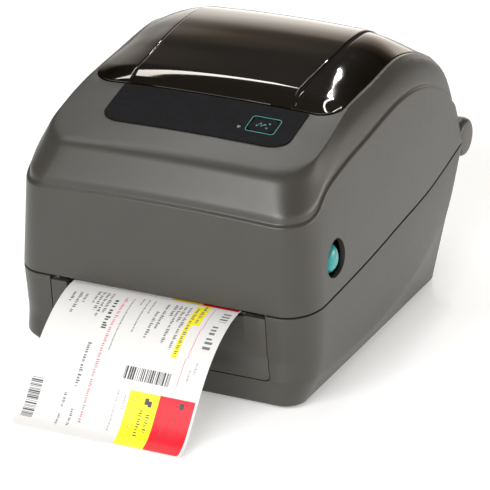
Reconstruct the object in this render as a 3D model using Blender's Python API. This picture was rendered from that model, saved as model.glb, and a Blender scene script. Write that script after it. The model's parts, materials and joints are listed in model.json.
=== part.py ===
"""Desktop thermal label printer: hinged cover with a smoked window over a base with the label path.

Lengths below are millimetres. X runs across the printer, Y from front to back, Z up.
Y is counted from the front face; the whole model is shifted so its bounding box is centred.
"""
import math

import bmesh
import bpy
from mathutils import Matrix, Vector

MM = 0.001

# Overall body
HALF_W = 96.5            # half width at the seam
BODY_BACK = 250.0        # rear face at the seam
Y_SHIFT = -90.67         # puts the middle of the bounding box on the origin
FOOT_H = 2.0             # the shell's lower edge above the table
WALL = 2.6
GAP = 0.3

# Stations along the side of the body: (distance from the front face, height)
SEAM = ((0, 61.9), (46, 64.1), (91, 67.0), (137, 71.7), (185, 77.0), (230, 87.3), (252, 93.0))
CREASE = ((0, 20), (40, 17), (100, 16), (140, 19), (186, 30), (216, 43), (232, 46))
ARCH = ((0, 117), (11, 117.6), (21, 120.8), (35, 130.4), (60, 136.8), (93, 141.6), (133, 147.4),
        (153, 148.1), (173, 146.2), (192, 140.9), (216, 128.6), (239, 110.4))
TOP = ((15, 144.2), (45, 151.8), (75, 160.0), (92, 163.0), (127, 165.8), (153, 168.7),
       (170, 168.2), (190, 163.7), (205, 158.0), (220, 150.7), (230, 143.0))
PANEL = ((75, 160.6), (79, 163.2), (85, 164.8), (95, 167.3), (110, 170.8), (123, 173.2),
         (137, 175.0), (153, 176.7), (170, 176.8), (180, 175.6), (190, 172.0), (204, 164.4),
         (214, 157.0), (221, 151.6))
TOP_CROWN = 2.0          # fall of the top surface from the middle to the side
RIDGE_CROWN = 1.8
PANEL_CROWN = 1.5

# Rounded front corners, as half-axes across and along the printer
CORNER = (20.0, 25.0)
RIDGE_HALF = 93.4
REAR_R = 14.0

# Window
WIN_HALF = 80.0
WIN_FRONT = 75.0
WIN_BACK = 221.0
WIN_R = 14.0
WIN_T = 2.6
RAISED_HALF = 54.7
RAISED_STEP = 1.2

# Hinge
HINGE_Y = 247.0
HINGE_Z = 89.0
BARREL_R = 12.5
BARREL_MID = 54.7        # the base's barrel reaches this far each side
BARREL_END = 93.0
PIN_R = 3.0

# Front bezel
BEZEL_HALF = 70.6
BEZEL_FOOT = 20.0
SLOT_HALF = 57.5

# Label path
LABEL_MID = -1.5
LABEL_HALF = 54.0
LABEL_T = 0.3
PLATEN_Y = 12.0
PLATEN_Z = 52.6
PLATEN_R = 6.5
ROLL_Y = 135.0
ROLL_Z = 78.0
ROLL_R = 47.0
CORE_R = 14.2

# Ribbon and head
TAKE_Y = 50.0
TAKE_Z = 122.0
SUPPLY_Y = 88.0
SUPPLY_Z = 140.0
SUPPLY_R = 15.5
FRAME_X = 60.5           # inner face of the ribbon frame's side plates

# Latch
LATCH_Y = 36.0
LATCH_Z = 104.0
PAD_Y = 41.0
PAD_Z = 86.0

# Motor and gears
MOTOR_Y = 37.9
MOTOR_Z = 33.2
IDLER_Y = 26.9
IDLER_Z = 45.5
GEAR_X0 = -72.5
GEAR_X1 = -67.5

# Sockets in the rear wall end this far back
PORT_BACK = 229.2

# Feed button on the sloping panel
BUTTON_X = 43.0
BUTTON_Y = 55.4
BUTTON_W = 16.4
BUTTON_D = 13.0
PANEL_SLOPE = math.atan2(8.0, 30.0)

for old in list(bpy.data.objects):
    bpy.data.objects.remove(old)

PARTS = bpy.data.collections.new("label_printer")
CUTTERS = bpy.data.collections.new("cutters")
bpy.context.scene.collection.children.link(PARTS)
bpy.context.scene.collection.children.link(CUTTERS)


# ---------------------------------------------------------------- materials

def material(name, color, roughness, metallic=0.0, transmission=0.0):
    mat = bpy.data.materials.new(name)
    mat.use_nodes = True
    shader = mat.node_tree.nodes["Principled BSDF"]
    shader.inputs["Base Color"].default_value = (*color, 1.0)
    shader.inputs["Roughness"].default_value = roughness
    shader.inputs["Metallic"].default_value = metallic
    shader.inputs["Transmission Weight"].default_value = transmission
    mat.diffuse_color = (*color, 1.0)
    return mat


CASE = material("case_grey", (0.150, 0.140, 0.120), 0.5)
CASE_DARK = material("case_dark", (0.080, 0.075, 0.065), 0.55)
SMOKED = material("smoked_window", (0.030, 0.022, 0.014), 0.08)
OVERLAY = material("panel_black", (0.016, 0.015, 0.017), 0.35)
TEAL = material("teal_plastic", (0.020, 0.260, 0.240), 0.35)
LENS = material("status_green", (0.300, 0.320, 0.280), 0.3)
PAPER = material("label_white", (0.860, 0.840, 0.810), 0.6)
CARD = material("core_card", (0.420, 0.300, 0.170), 0.85)
RUBBER = material("black_rubber", (0.015, 0.015, 0.015), 0.8)
STEEL = material("steel", (0.560, 0.560, 0.570), 0.3, 1.0)
FRAME = material("frame_black", (0.030, 0.030, 0.032), 0.55)
NYLON = material("nylon_white", (0.700, 0.690, 0.640), 0.5)
BOARD = material("circuit_green", (0.010, 0.090, 0.035), 0.5)
RIBBON = material("ribbon_black", (0.010, 0.010, 0.012), 0.3)
ALLOY = material("head_alloy", (0.600, 0.600, 0.600), 0.35, 1.0)
SOCKET = material("socket_black", (0.012, 0.012, 0.012), 0.45)


# ---------------------------------------------------------------- helpers

def at(x, y, z):
    """World position of a point given in body millimetres."""
    return Vector((x, y + Y_SHIFT, z)) * MM


def station(table, y):
    """Smooth height at y through a list of (y, height) stations."""
    if y <= table[0][0]:
        return float(table[0][1])
    if y >= table[-1][0]:
        return float(table[-1][1])
    k = 0
    while table[k + 1][0] < y:
        k += 1
    (y0, z0), (y1, z1) = table[k], table[k + 1]
    rise = (z1 - z0) / (y1 - y0)
    m0 = rise
    m1 = rise
    if k > 0:
        m0 = (z1 - table[k - 1][1]) / (y1 - table[k - 1][0])
    if k + 2 < len(table):
        m1 = (table[k + 2][1] - z0) / (table[k + 2][0] - y0)
    t = (y - y0) / (y1 - y0)
    h = y1 - y0
    a = (2 * t ** 3 - 3 * t ** 2 + 1) * z0 + (t ** 3 - 2 * t ** 2 + t) * h * m0
    return a + (-2 * t ** 3 + 3 * t ** 2) * z1 + (t ** 3 - t ** 2) * h * m1


def smooth(t):
    t = min(max(t, 0.0), 1.0)
    return t * t * (3 - 2 * t)


def finish(bm, name, mat, origin, coll):
    """Turn a bmesh in world metres into an object whose origin is `origin` (body mm)."""
    home = at(*origin)
    bmesh.ops.translate(bm, verts=bm.verts, vec=-home)
    bmesh.ops.recalc_face_normals(bm, faces=bm.faces)
    mesh = bpy.data.meshes.new(name)
    bm.to_mesh(mesh)
    bm.free()
    obj = bpy.data.objects.new(name, mesh)
    obj.location = home
    coll.objects.link(obj)
    if mat is not None:
        mesh.materials.append(mat)
    if coll is CUTTERS:
        obj.hide_render = True
        obj.display_type = "WIRE"
    return obj


def box(name, x, y, z, mat=None, origin=(0, 0, 0), coll=PARTS, bevel=0.0):
    bm = bmesh.new()
    bmesh.ops.create_cube(bm, size=1.0)
    lo = at(x[0], y[0], z[0])
    hi = at(x[1], y[1], z[1])
    for v in bm.verts:
        v.co = Vector([lo[i] + (v.co[i] + 0.5) * (hi[i] - lo[i]) for i in range(3)])
    if bevel:
        bmesh.ops.bevel(bm, geom=bm.edges[:], offset=bevel * MM, segments=1, affect="EDGES")
    return finish(bm, name, mat, origin, coll)


def rod(name, x, yz, r, mat=None, origin=None, coll=PARTS, seg=24, bore=0.0, chamfer=0.0):
    """Cylinder along X, with an optional bore."""
    sections = [(x[0], r), (x[1], r)]
    if chamfer:
        sections = [(x[0], r - chamfer), (x[0] + chamfer, r), (x[1] - chamfer, r), (x[1], r - chamfer)]
    return turned_x(name, sections, yz, mat, origin, coll, seg, bore)


def turned_x(name, sections, yz, mat=None, origin=None, coll=PARTS, seg=24, bore=0.0):
    """Solid of revolution about a line along X, from (x, radius) sections."""
    bm = bmesh.new()
    outline = list(sections)
    if bore:
        outline += [(sections[-1][0], bore), (sections[0][0], bore)]
    loops = []
    for sx, sr in outline:
        ring = []
        for k in range(seg):
            a = 2 * math.pi * (k + 0.5) / seg
            ring.append(bm.verts.new(at(sx, yz[0] + sr * math.cos(a), yz[1] + sr * math.sin(a))))
        loops.append(ring)
    pairs = list(zip(loops, loops[1:]))
    if bore:
        pairs.append((loops[-1], loops[0]))
    for a, b in pairs:
        for k in range(seg):
            bm.faces.new((a[k], a[(k + 1) % seg], b[(k + 1) % seg], b[k]))
    if not bore:
        bm.faces.new(loops[0])
        bm.faces.new(loops[-1])
    home = origin if origin is not None else (0, yz[0], yz[1])
    return finish(bm, name, mat, home, coll)


def disc_z(name, xy, z, r, mat=None, coll=PARTS, seg=24, steps=None):
    """Upright cylinder, or a stepped one from (z, radius) pairs."""
    bm = bmesh.new()
    loops = []
    for sz, sr in steps or ((z[0], r), (z[1], r)):
        ring = []
        for k in range(seg):
            a = 2 * math.pi * (k + 0.5) / seg
            ring.append(bm.verts.new(at(xy[0] + sr * math.cos(a), xy[1] + sr * math.sin(a), sz)))
        loops.append(ring)
    for a, b in zip(loops, loops[1:]):
        for k in range(seg):
            bm.faces.new((a[k], a[(k + 1) % seg], b[(k + 1) % seg], b[k]))
    bm.faces.new(loops[0])
    bm.faces.new(loops[-1])
    return finish(bm, name, mat, (xy[0], xy[1], 0), coll)


def plate_x(name, outline, x, mat=None, origin=(0, 0, 0), coll=PARTS):
    """Flat plate: an outline in the Y-Z plane extruded along X."""
    bm = bmesh.new()
    face = bm.faces.new([bm.verts.new(at(x[0], py, pz)) for py, pz in outline])
    made = bmesh.ops.extrude_face_region(bm, geom=[face])["geom"]
    moved = [g for g in made if isinstance(g, bmesh.types.BMVert)]
    bmesh.ops.translate(bm, verts=moved, vec=((x[1] - x[0]) * MM, 0, 0))
    return finish(bm, name, mat, origin, coll)


def ribbon_x(name, path, x, thick, mat, origin=(0, 0, 0)):
    """Thin sheet running along a path in the Y-Z plane."""
    upper = []
    lower = []
    for k, (py, pz) in enumerate(path):
        a = path[max(k - 1, 0)]
        b = path[min(k + 1, len(path) - 1)]
        length = math.hypot(b[0] - a[0], b[1] - a[1])
        ny = -(b[1] - a[1]) / length * thick / 2
        nz = (b[0] - a[0]) / length * thick / 2
        upper.append((py + ny, pz + nz))
        lower.append((py - ny, pz - nz))
    return strip(name, upper, lower, x, mat, origin)


def strip(name, upper, lower, x, mat, origin=(0, 0, 0), coll=PARTS):
    """Solid between two matching outlines in the Y-Z plane, extruded along X."""
    bm = bmesh.new()
    sides = []
    for sx in x:
        sides.append(([bm.verts.new(at(sx, *p)) for p in upper], [bm.verts.new(at(sx, *p)) for p in lower]))
    (u0, l0), (u1, l1) = sides
    last = len(upper) - 1
    for k in range(last):
        bm.faces.new((u0[k], u0[k + 1], u1[k + 1], u1[k]))
        bm.faces.new((l0[k], l0[k + 1], l1[k + 1], l1[k]))
        bm.faces.new((u0[k], u0[k + 1], l0[k + 1], l0[k]))
        bm.faces.new((u1[k], u1[k + 1], l1[k + 1], l1[k]))
    bm.faces.new((u0[0], u1[0], l1[0], l0[0]))
    bm.faces.new((u0[last], u1[last], l1[last], l0[last]))
    return finish(bm, name, mat, origin, coll)


def combine(obj, tool, operation="DIFFERENCE"):
    mod = obj.modifiers.new(tool.name, "BOOLEAN")
    mod.operation = operation
    mod.solver = "EXACT"
    mod.object = tool
    return obj


def cut(obj, *tools):
    for tool in tools:
        combine(obj, tool)
    return obj


def join(obj, *tools):
    for tool in tools:
        combine(obj, tool, "UNION")
    return obj


# ---------------------------------------------------------------- body sections

def plan(half, front, back, corner, rear_r, arc=3, across=6, along=12):
    """Closed rounded outline seen from above, always with the same number of points.

    It starts in the middle of the front left corner and runs along the front first.
    """
    rx, ry = corner
    points = []

    def front_corner(side, t):
        a = math.radians(t)
        return (side * (half - rx + rx * math.sin(a)), front + ry - ry * math.cos(a))

    def rear_corner(side, t):
        a = math.radians(t)
        return (side * (half - rear_r + rear_r * math.cos(a)), back - rear_r + rear_r * math.sin(a))

    for k in range(arc):
        points.append(front_corner(-1, 45 - 45 * k / arc))
    for k in range(across):
        points.append((-(half - rx) + 2 * (half - rx) * k / across, front))
    for k in range(2 * arc):
        points.append(front_corner(1, 45 * k / arc))
    for k in range(along):
        points.append((half, front + ry + (back - rear_r - front - ry) * k / along))
    for k in range(2 * arc):
        points.append(rear_corner(1, 45 * k / arc))
    for k in range(across):
        points.append((half - rear_r - 2 * (half - rear_r) * k / across, back))
    for k in range(2 * arc):
        points.append(rear_corner(-1, 90 - 45 * k / arc))
    for k in range(along):
        points.append((-half, back - rear_r - (back - rear_r - front - ry) * k / along))
    for k in range(arc):
        points.append(front_corner(-1, 90 - 45 * k / arc))
    return points


def crown(x, y, amount):
    """Slight rise of the front edges towards the middle."""
    return amount * max(0.0, 1 - (x / 72.0) ** 2) * (1 - smooth(y / 30.0))


def top_z(x, y):
    return station(TOP, y) - TOP_CROWN * (x / 82.0) ** 2


def seam_ring(inset=0.0, lift=0.0):
    corner = (CORNER[0] - inset, CORNER[1] - inset)
    ring = plan(HALF_W - inset, inset, BODY_BACK - inset, corner, REAR_R - inset)
    return [(x, y, station(SEAM, y) + lift) for x, y in ring]


def ridge_ring(inset=0.0, lift=0.0):
    ring = plan(RIDGE_HALF - inset, inset, 244 - inset, (CORNER[0] - inset, CORNER[1] - inset), 14)
    return [(x, y, station(ARCH, y) + crown(x, y, RIDGE_CROWN) + lift) for x, y in ring]


def band_z(x, y):
    return station(ARCH, y) + 5.2 - 2.6 * smooth((y - 3) / 40.0) + crown(x, y, 1.6)


def band_ring(inset=0.0, lift=0.0):
    ring = plan(92.0 - inset, 3 + inset, 241.5 - inset, (19.5 - inset, 24 - inset), 13)
    return [(x, y, band_z(x, y) + lift) for x, y in ring]


def shoulder_ring(inset=0.0, lift=0.0):
    """Half-way up the shoulder: flat across the front, bulging along the sides and the back."""
    rows = []
    for x, y in plan(88.4 - inset, 9 + inset, 236.5 - inset, (20 - inset, 24.5 - inset), 13):
        low = band_z(x, 3 + (y - 9) * 1.048)
        high = top_z(x, 15 + (y - 9) * 0.927)
        bulge = 2.5 * smooth((y - 30) / 70.0) + 1.5 * smooth((y - 180) / 50.0)
        rows.append((x, y, (low + high) / 2 + bulge + lift))
    return rows


def top_ring(inset=0.0, lift=0.0):
    ring = plan(84.6 - inset, 15 + inset, 226 - inset, (20 - inset, 24 - inset), 12)
    rows = []
    for x, y in ring:
        x *= 1 - 0.028 * smooth((y - 50) / 42.0)
        rows.append((x, y, top_z(x, y) + lift))
    return rows


def loft(name, rings, mat=None, coll=PARTS, lid=None, floor=None, origin=(0, 0, 0)):
    """Skin through closed sections; `floor` and `lid` give the heights inside the end ones."""
    bm = bmesh.new()
    loops = [[bm.verts.new(at(*p)) for p in ring] for ring in rings]
    count = len(loops[0])
    for a, b in zip(loops, loops[1:]):
        for k in range(count):
            bm.faces.new((a[k], a[(k + 1) % count], b[(k + 1) % count], b[k]))
    for ring, edge, height in ((rings[0], loops[0], floor), (rings[-1], loops[-1], lid)):
        if height is None:
            bm.faces.new(edge)
        else:
            fill_top(bm, ring, edge, height)
    return finish(bm, name, mat, origin, coll)


def fill_top(bm, ring, loop, height, arc=3, across=6, along=12):
    """Grid across the inside of a closed section, blended from its four sides."""
    wide = 2 * arc + across
    deep = 2 * arc + along
    front = list(range(0, wide + 1))
    right = list(range(wide, wide + deep + 1))
    back = list(range(2 * wide + deep, wide + deep - 1, -1))
    left = [(2 * wide + 2 * deep - k) % len(ring) for k in range(deep + 1)]
    grid = []
    for j in range(deep + 1):
        v = j / deep
        row = []
        for i in range(wide + 1):
            u = i / wide
            if j == 0:
                row.append(loop[front[i]])
            elif j == deep:
                row.append(loop[back[i]])
            elif i == 0:
                row.append(loop[left[j]])
            elif i == wide:
                row.append(loop[right[j]])
            else:
                p = []
                for c in (0, 1):
                    edge = (1 - v) * ring[front[i]][c] + v * ring[back[i]][c]
                    edge += (1 - u) * ring[left[j]][c] + u * ring[right[j]][c]
                    edge -= (1 - u) * (1 - v) * ring[front[0]][c] + u * (1 - v) * ring[front[-1]][c]
                    edge -= (1 - u) * v * ring[back[0]][c] + u * v * ring[back[-1]][c]
                    p.append(edge)
                row.append(bm.verts.new(at(p[0], p[1], height(p[0], p[1]))))
        grid.append(row)
    for j in range(deep):
        for i in range(wide):
            bm.faces.new((grid[j][i], grid[j][i + 1], grid[j + 1][i + 1], grid[j + 1][i]))


# ---------------------------------------------------------------- window surface

def window_front(x):
    over = max(0.0, abs(x) - (WIN_HALF - WIN_R)) / WIN_R
    return WIN_FRONT + WIN_R * (1 - math.sqrt(max(0.0, 1 - over * over)))


def window_back(x):
    over = max(0.0, abs(x) - (WIN_HALF - 10.0)) / 10.0
    return WIN_BACK - 10.0 * (1 - math.sqrt(max(0.0, 1 - over * over)))


def window_z(x, y):
    """Height of the window's outer face: raised middle, a small step, then falling wings."""
    middle = station(PANEL, y) + PANEL_CROWN * (1 - (min(abs(x), RAISED_HALF) / RAISED_HALF) ** 2)
    if abs(x) <= RAISED_HALF:
        return middle
    step = RAISED_STEP * smooth((y - WIN_FRONT) / 9.0) * smooth((WIN_BACK - y) / 9.0)
    drop = smooth((abs(x) - RAISED_HALF) / 1.0) * step
    s = max(0.0, abs(x) - RAISED_HALF - 1.0) / (WIN_HALF - RAISED_HALF - 1.0)
    edge = top_z(WIN_HALF, y) + 1.0
    inner = middle - drop
    return inner + (edge - inner) * s ** 1.8


def slab(name, columns, near, far, rows, upper, lower, mat, origin=(0, 0, 0)):
    """Curved sheet over columns of constant x, each from near(x) to far(x)."""
    bm = bmesh.new()
    faces = []
    for height in (upper, lower):
        grid = []
        for x in columns:
            col = []
            for k in range(rows + 1):
                y = near(x) + (far(x) - near(x)) * k / rows
                col.append(bm.verts.new(at(x, y, height(x, y))))
            grid.append(col)
        faces.append(grid)
    wide = len(columns) - 1
    for grid in faces:
        for i in range(wide):
            for k in range(rows):
                bm.faces.new((grid[i][k], grid[i + 1][k], grid[i + 1][k + 1], grid[i][k + 1]))
    a, b = faces
    for i in range(wide):
        for k in (0, rows):
            bm.faces.new((a[i][k], a[i + 1][k], b[i + 1][k], b[i][k]))
    for k in range(rows):
        for i in (0, wide):
            bm.faces.new((a[i][k], a[i][k + 1], b[i][k + 1], b[i][k]))
    return finish(bm, name, mat, origin, PARTS)


# ---------------------------------------------------------------- base

def tucked(x, y):
    """The front left corner of the foot is drawn in towards the middle."""
    return x + 24.0 * smooth((-x - 50) / 37.0) * (1 - smooth((y - 12) / 50.0))


def base_shell():
    foot = [(tucked(x, y), y, FOOT_H) for x, y in plan(87, 6.6, 226, (12, 13), 12)]
    crease = [(x, y, station(CREASE, y)) for x, y in plan(94, 0.6, 231, (18.5, 22), 14)]
    waist = []
    for x, y in plan(95.2, 2.2, 237.5, (19.3, 24), 14):
        low = station(CREASE, y)
        waist.append((x, y, low + (station(SEAM, y) - low) * 0.32))
    shell = loft("base_shell", [foot, crease, waist, seam_ring(0, -GAP)], CASE,
                 lid=lambda x, y: station(SEAM, y) - GAP)
    hollow = loft("base_hollow", [
        [(tucked(x, y), y, -1) for x, y in plan(84.2, 9.4, 223, (10, 11), 10)],
        [(x, y, station(CREASE, y)) for x, y in plan(91.2, 5.0, 227.5, (16, 19), 11)],
        [(x, y, station(SEAM, y) + 3) for x, y in plan(93.7, 3.4, 246.8, (17.5, 22), 11)],
    ], coll=CUTTERS)
    bay = box("bezel_bay", (-BEZEL_HALF - GAP, BEZEL_HALF + GAP), (-4, 9), (BEZEL_FOOT - GAP, 80), coll=CUTTERS)
    hinge = rod("base_barrel", (-BARREL_MID, BARREL_MID), (HINGE_Y, HINGE_Z), BARREL_R, coll=CUTTERS)
    swing_l = rod("base_swing_left", (-BARREL_END - GAP, -BARREL_MID), (HINGE_Y, HINGE_Z), BARREL_R + 0.7,
                  coll=CUTTERS)
    swing_r = rod("base_swing_right", (BARREL_MID, BARREL_END + GAP), (HINGE_Y, HINGE_Z), BARREL_R + 0.7,
                  coll=CUTTERS)
    pin = rod("base_pin_bore_left", (-BARREL_MID - 1, -40), (HINGE_Y, HINGE_Z), PIN_R + 0.15, coll=CUTTERS)
    pin_r = rod("base_pin_bore_right", (40, BARREL_MID + 1), (HINGE_Y, HINGE_Z), PIN_R + 0.15, coll=CUTTERS)
    cut(shell, hollow, bay)
    join(shell, hinge)
    cut(shell, swing_l, swing_r, pin, pin_r)
    for side in (-1, 1):
        x = sorted((side * 83.0, side * 94.2))
        catch = box(f"catch_{side}", x, (47.0, 50.0), (57.0, 60.5), coll=CUTTERS)
        join(shell, catch)
    windows = (
        ("jack_hole", (-66.5, -53.5), (16, 29)),
        ("usb_hole", (-41.5, -27.5), (16, 29.5)),
        ("serial_hole", (-16.5, 16.5), (16, 30)),
        ("network_hole", (25.5, 42.5), (16, 31.5)),
        ("switch_hole", (53.5, 68.5), (14, 35)),
    )
    for label, x, z in windows:
        cut(shell, box(label, x, (216, 238), z, coll=CUTTERS))
    for k in range(7):
        x = -60 + 20 * k
        cut(shell, box(f"vent_{k}", (x - 7, x + 7), (220, 250), (52, 54.5), coll=CUTTERS))
    return shell


def bottom_plate():
    outline = [(tucked(x, y), y) for x, y in plan(83.7, 10.0, 222.4, (10, 11), 9)]
    plate = loft("bottom_plate", [[(x, y, z) for x, y in outline] for z in (3.6, 5.6)], CASE_DARK)
    for label, x, y in screw_places():
        cut(plate, disc_z(f"plate_hole_{label}", (x, y), (0, 9), 1.9, coll=CUTTERS, seg=12))
    return plate


def screw_places():
    return (("front_left", -58, 45), ("front_right", 58, 45), ("rear_left", -58, 196), ("rear_right", 58, 196))


def feet_and_screws():
    for label, x, y in (("front_left", -56, 26), ("front_right", 70, 28), ("rear_left", -70, 200),
                        ("rear_right", 70, 200)):
        disc_z(f"rubber_foot_{label}", (x, y), None, None, RUBBER,
               steps=((0, 7.4), (0.8, 8.0), (3.3, 8.0)))
    for label, x, y in screw_places():
        disc_z(f"case_screw_{label}", (x, y), None, None, STEEL, seg=12,
               steps=((1.9, 2.6), (2.3, 3.1), (3.3, 3.1), (3.3001, 1.5), (16, 1.5)))


def front_bezel():
    outline = [(0.3, 59.6), (2.5, 34), (1.0, BEZEL_FOOT), (4.6, BEZEL_FOOT), (4.6, 59.6)]
    bezel = plate_x("front_bezel", outline, (-BEZEL_HALF, BEZEL_HALF), CASE)
    scoop = plate_x("bezel_scoop", [(-3, 70), (-3, 38), (2.0, 38), (2.7, 46), (2.8, 57.0), (12, 57.0), (12, 70)],
                    (LABEL_MID - SLOT_HALF, LABEL_MID + SLOT_HALF), coll=CUTTERS)
    return cut(bezel, scoop)


def inner_frame():
    deck = box("inner_frame", (-88, 88), (24, 204.5), (26, 28.4), FRAME)
    for side in (-1, 1):
        x = sorted((side * 62.0, side * 65.0))
        wall = [(6.4, 28), (6.4, 60.4), (16, 60.4), (30, 66), (74, 70), (80, 60), (80, 28)]
        join(deck, plate_x(f"bay_wall_{side}", wall, x, coll=CUTTERS))
    for label, x, y in screw_places():
        join(deck, disc_z(f"leg_{label}", (x, y), (6.0, 27), 4.5, coll=CUTTERS, seg=12))
    for label, x, y in screw_places():
        cut(deck, disc_z(f"leg_bore_{label}", (x, y), (4.0, 17), 1.8, coll=CUTTERS, seg=12))
    cut(deck, box("motor_notch", (-95, -73), (18, 58), (20, 34), coll=CUTTERS))
    cut(deck, box("gear_notch", (-74, -66.2), (10, 60), (20, 34), coll=CUTTERS))
    for side in (-1, 1):
        x = sorted((side * 61.0, side * 66.0))
        cut(deck, rod(f"bearing_seat_{side}", x, (PLATEN_Y, PLATEN_Z), 5.3, coll=CUTTERS, seg=16))
        cut(deck, rod(f"bar_hole_{side}", x, (66, 64.6), 2.4, coll=CUTTERS, seg=12))
    join(deck, rod("idler_stub", (-73.5, -64.5), (IDLER_Y, IDLER_Z), 2.0, coll=CUTTERS, seg=12))
    return deck


def hold_down_bar():
    return rod("hold_down_bar", (-64.6, 64.6), (66, 64.6), 2.2, STEEL, seg=12)


def gear(name, x, yz, root, tip, teeth, mat, bore, hub=0.0):
    """Spur wheel along X with plain straight teeth."""
    bm = bmesh.new()
    loops = []
    for sx in x:
        ring = []
        for k in range(teeth * 4):
            a = 2 * math.pi * k / (teeth * 4)
            r = tip if k % 4 in (0, 1) else root
            ring.append(bm.verts.new(at(sx, yz[0] + r * math.cos(a), yz[1] + r * math.sin(a))))
        loops.append(ring)
    count = teeth * 4
    for k in range(count):
        bm.faces.new((loops[0][k], loops[0][(k + 1) % count], loops[1][(k + 1) % count], loops[1][k]))
    bm.faces.new(loops[0])
    bm.faces.new(loops[1])
    wheel = finish(bm, name, mat, (0, yz[0], yz[1]), PARTS)
    cut(wheel, rod(f"{name}_bore", (x[0] - 5, x[1] + 5), yz, bore, coll=CUTTERS, seg=16))
    return wheel


def drive():
    rod("platen_shaft", (-73.5, 68), (PLATEN_Y, PLATEN_Z), 2.5, STEEL)
    rod("platen_rubber", (-57, 57), (PLATEN_Y, PLATEN_Z), PLATEN_R, RUBBER, bore=2.7, chamfer=0.5)
    for side, label in ((-1, "left"), (1, "right")):
        x = sorted((side * 60.0, side * 66.0))
        rod(f"platen_bearing_{label}", x, (PLATEN_Y, PLATEN_Z), 5.0, NYLON, bore=2.75, seg=24)
    gear("platen_gear", (GEAR_X0, GEAR_X1), (PLATEN_Y, PLATEN_Z), 6.1, 7.0, 14, NYLON, 2.7)
    gear("idler_gear", (GEAR_X0, GEAR_X1), (IDLER_Y, IDLER_Z), 8.3, 9.2, 19, NYLON, 2.3)
    gear("motor_pinion", (GEAR_X0, GEAR_X1), (MOTOR_Y, MOTOR_Z), 6.1, 7.0, 14, STEEL, 1.7)
    motor = turned_x("stepper_motor", ((-88.5, 12.0), (-87.5, 13.0), (-75, 13.0), (-75, 4.5), (-74, 4.5),
                                       (-74, 1.5), (-68, 1.5)),
                     (MOTOR_Y, MOTOR_Z), STEEL)
    return motor


def media_parts():
    box("tear_bar", (-61.6, 61.6), (4.9, 6.0), (56.2, 58.9), STEEL)
    box("media_sensor", (-8, 8), (34, 50), (28.8, 57.6), FRAME, bevel=0.8)
    for side, label in ((-1, "left"), (1, "right")):
        inner = LABEL_MID + side * (LABEL_HALF + 0.8)
        x = sorted((inner, inner + side * 2.0))
        outline = [(52, 28.8), (52, 62.0), (60, 64.5), (60, 28.8)]
        plate_x(f"media_guide_{label}", outline, x, TEAL)
    for side, label in ((-1, "left"), (1, "right")):
        x = sorted((side * 57.5, side * 61.0))
        outline = [(108, 28.8), (113, 84), (126, 97), (144, 97), (157, 84), (162, 28.8)]
        holder = plate_x(f"roll_holder_{label}", outline, x, FRAME)
        hub = sorted((side * 48.0, side * 58.0))
        join(holder, rod(f"roll_hub_{label}", hub, (ROLL_Y, ROLL_Z), 11.6, coll=CUTTERS, chamfer=1.0))
    rod("label_roll", (-54, 54), (ROLL_Y, ROLL_Z), ROLL_R, PAPER, bore=CORE_R + 0.1, seg=48)
    rod("roll_core", (-54.6, 54.6), (ROLL_Y, ROLL_Z), CORE_R, CARD, bore=12.3, seg=32)


def label_strip():
    path = [(92.6, 101.6), (84, 86.4), (73.9, 68.4), (71.4, 64.6), (69.0, 62.2), (65.0, 60.9),
            (58, 60.4), (40, 59.8), (18, 59.45), (12, 59.45), (4, 59.5), (-2, 59.1), (-10, 57.4),
            (-20, 53.6), (-29, 48.6), (-38, 41.8), (-46, 34.0), (-53.5, 25.2), (-60, 17.0), (-66, 9.8),
            (-71.5, 5.0), (-78, 2.2)]
    return ribbon_x("label_strip", path, (LABEL_MID - LABEL_HALF, LABEL_MID + LABEL_HALF), LABEL_T, PAPER)


def electronics():
    board = box("main_board", (-52, 52), (62, 190), (11, 12.6), BOARD)
    chips = (((-40, -10), (80, 110), 14.5), ((10, 42), (84, 104), 15.5), ((-30, -4), (130, 152), 14.2),
             ((14, 30), (140, 176), 22.0), ((-46, -34), (160, 190), 20.0))
    for k, (x, y, z) in enumerate(chips):
        join(board, box(f"chip_{k}", x, y, (12, z), coll=CUTTERS))


def port(name, x, z, hollow, mat, depth=20.0, tongue=None):
    """Socket body let into the rear wall, open to the back."""
    y1 = PORT_BACK
    body = box(name, (x[0] + GAP, x[1] - GAP), (y1 - depth, y1), (z[0] + GAP, z[1] - GAP), mat)
    hx, hz = hollow
    cut(body, box(f"{name}_hollow", hx, (y1 - depth + 4, y1 + 3), hz, coll=CUTTERS))
    if tongue:
        tx, tz = tongue
        join(body, box(f"{name}_tongue", tx, (y1 - depth + 2, y1 - 2), tz, coll=CUTTERS))
    return body


def rear_panel():
    jack = box("power_jack", (-66.2, -53.8), (209.2, PORT_BACK), (16.3, 28.7), SOCKET)
    hole = rod_y("power_jack_hole", (213.2, 233), (-60, 22.5), 4.4, CUTTERS)
    cut(jack, hole)
    join(jack, rod_y("power_jack_pin", (211, 227), (-60, 22.5), 1.2, CUTTERS))
    port("usb_port", (-41.5, -27.5), (16, 29.5), ((-39.0, -30.0), (18.2, 27.2)), STEEL,
         tongue=((-37.2, -31.8), (20.4, 25.0)))
    port("serial_port", (-16.5, 16.5), (16, 30), ((-12.5, 12.5), (18.6, 27.4)), STEEL,
         tongue=((-10.0, 10.0), (20.4, 25.6)))
    port("network_port", (25.5, 42.5), (16, 31.5), ((28.0, 40.0), (18.6, 28.4)), STEEL)
    frame = box("switch_housing", (53.8, 68.2), (209.2, PORT_BACK), (14.3, 34.7), SOCKET)
    cut(frame, box("switch_pocket", (56.0, 66.0), (214.5, 233), (16.5, 32.5), coll=CUTTERS))
    outline = [(223.0, 18.4), (230.6, 18.4), (229.2, 24.5), (227.6, 30.6), (221.3, 30.6), (219.4, 24.5)]
    plate_x("power_switch", outline, (56.4, 65.6), SOCKET, origin=(61, 223.3, 24.5))


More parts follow.
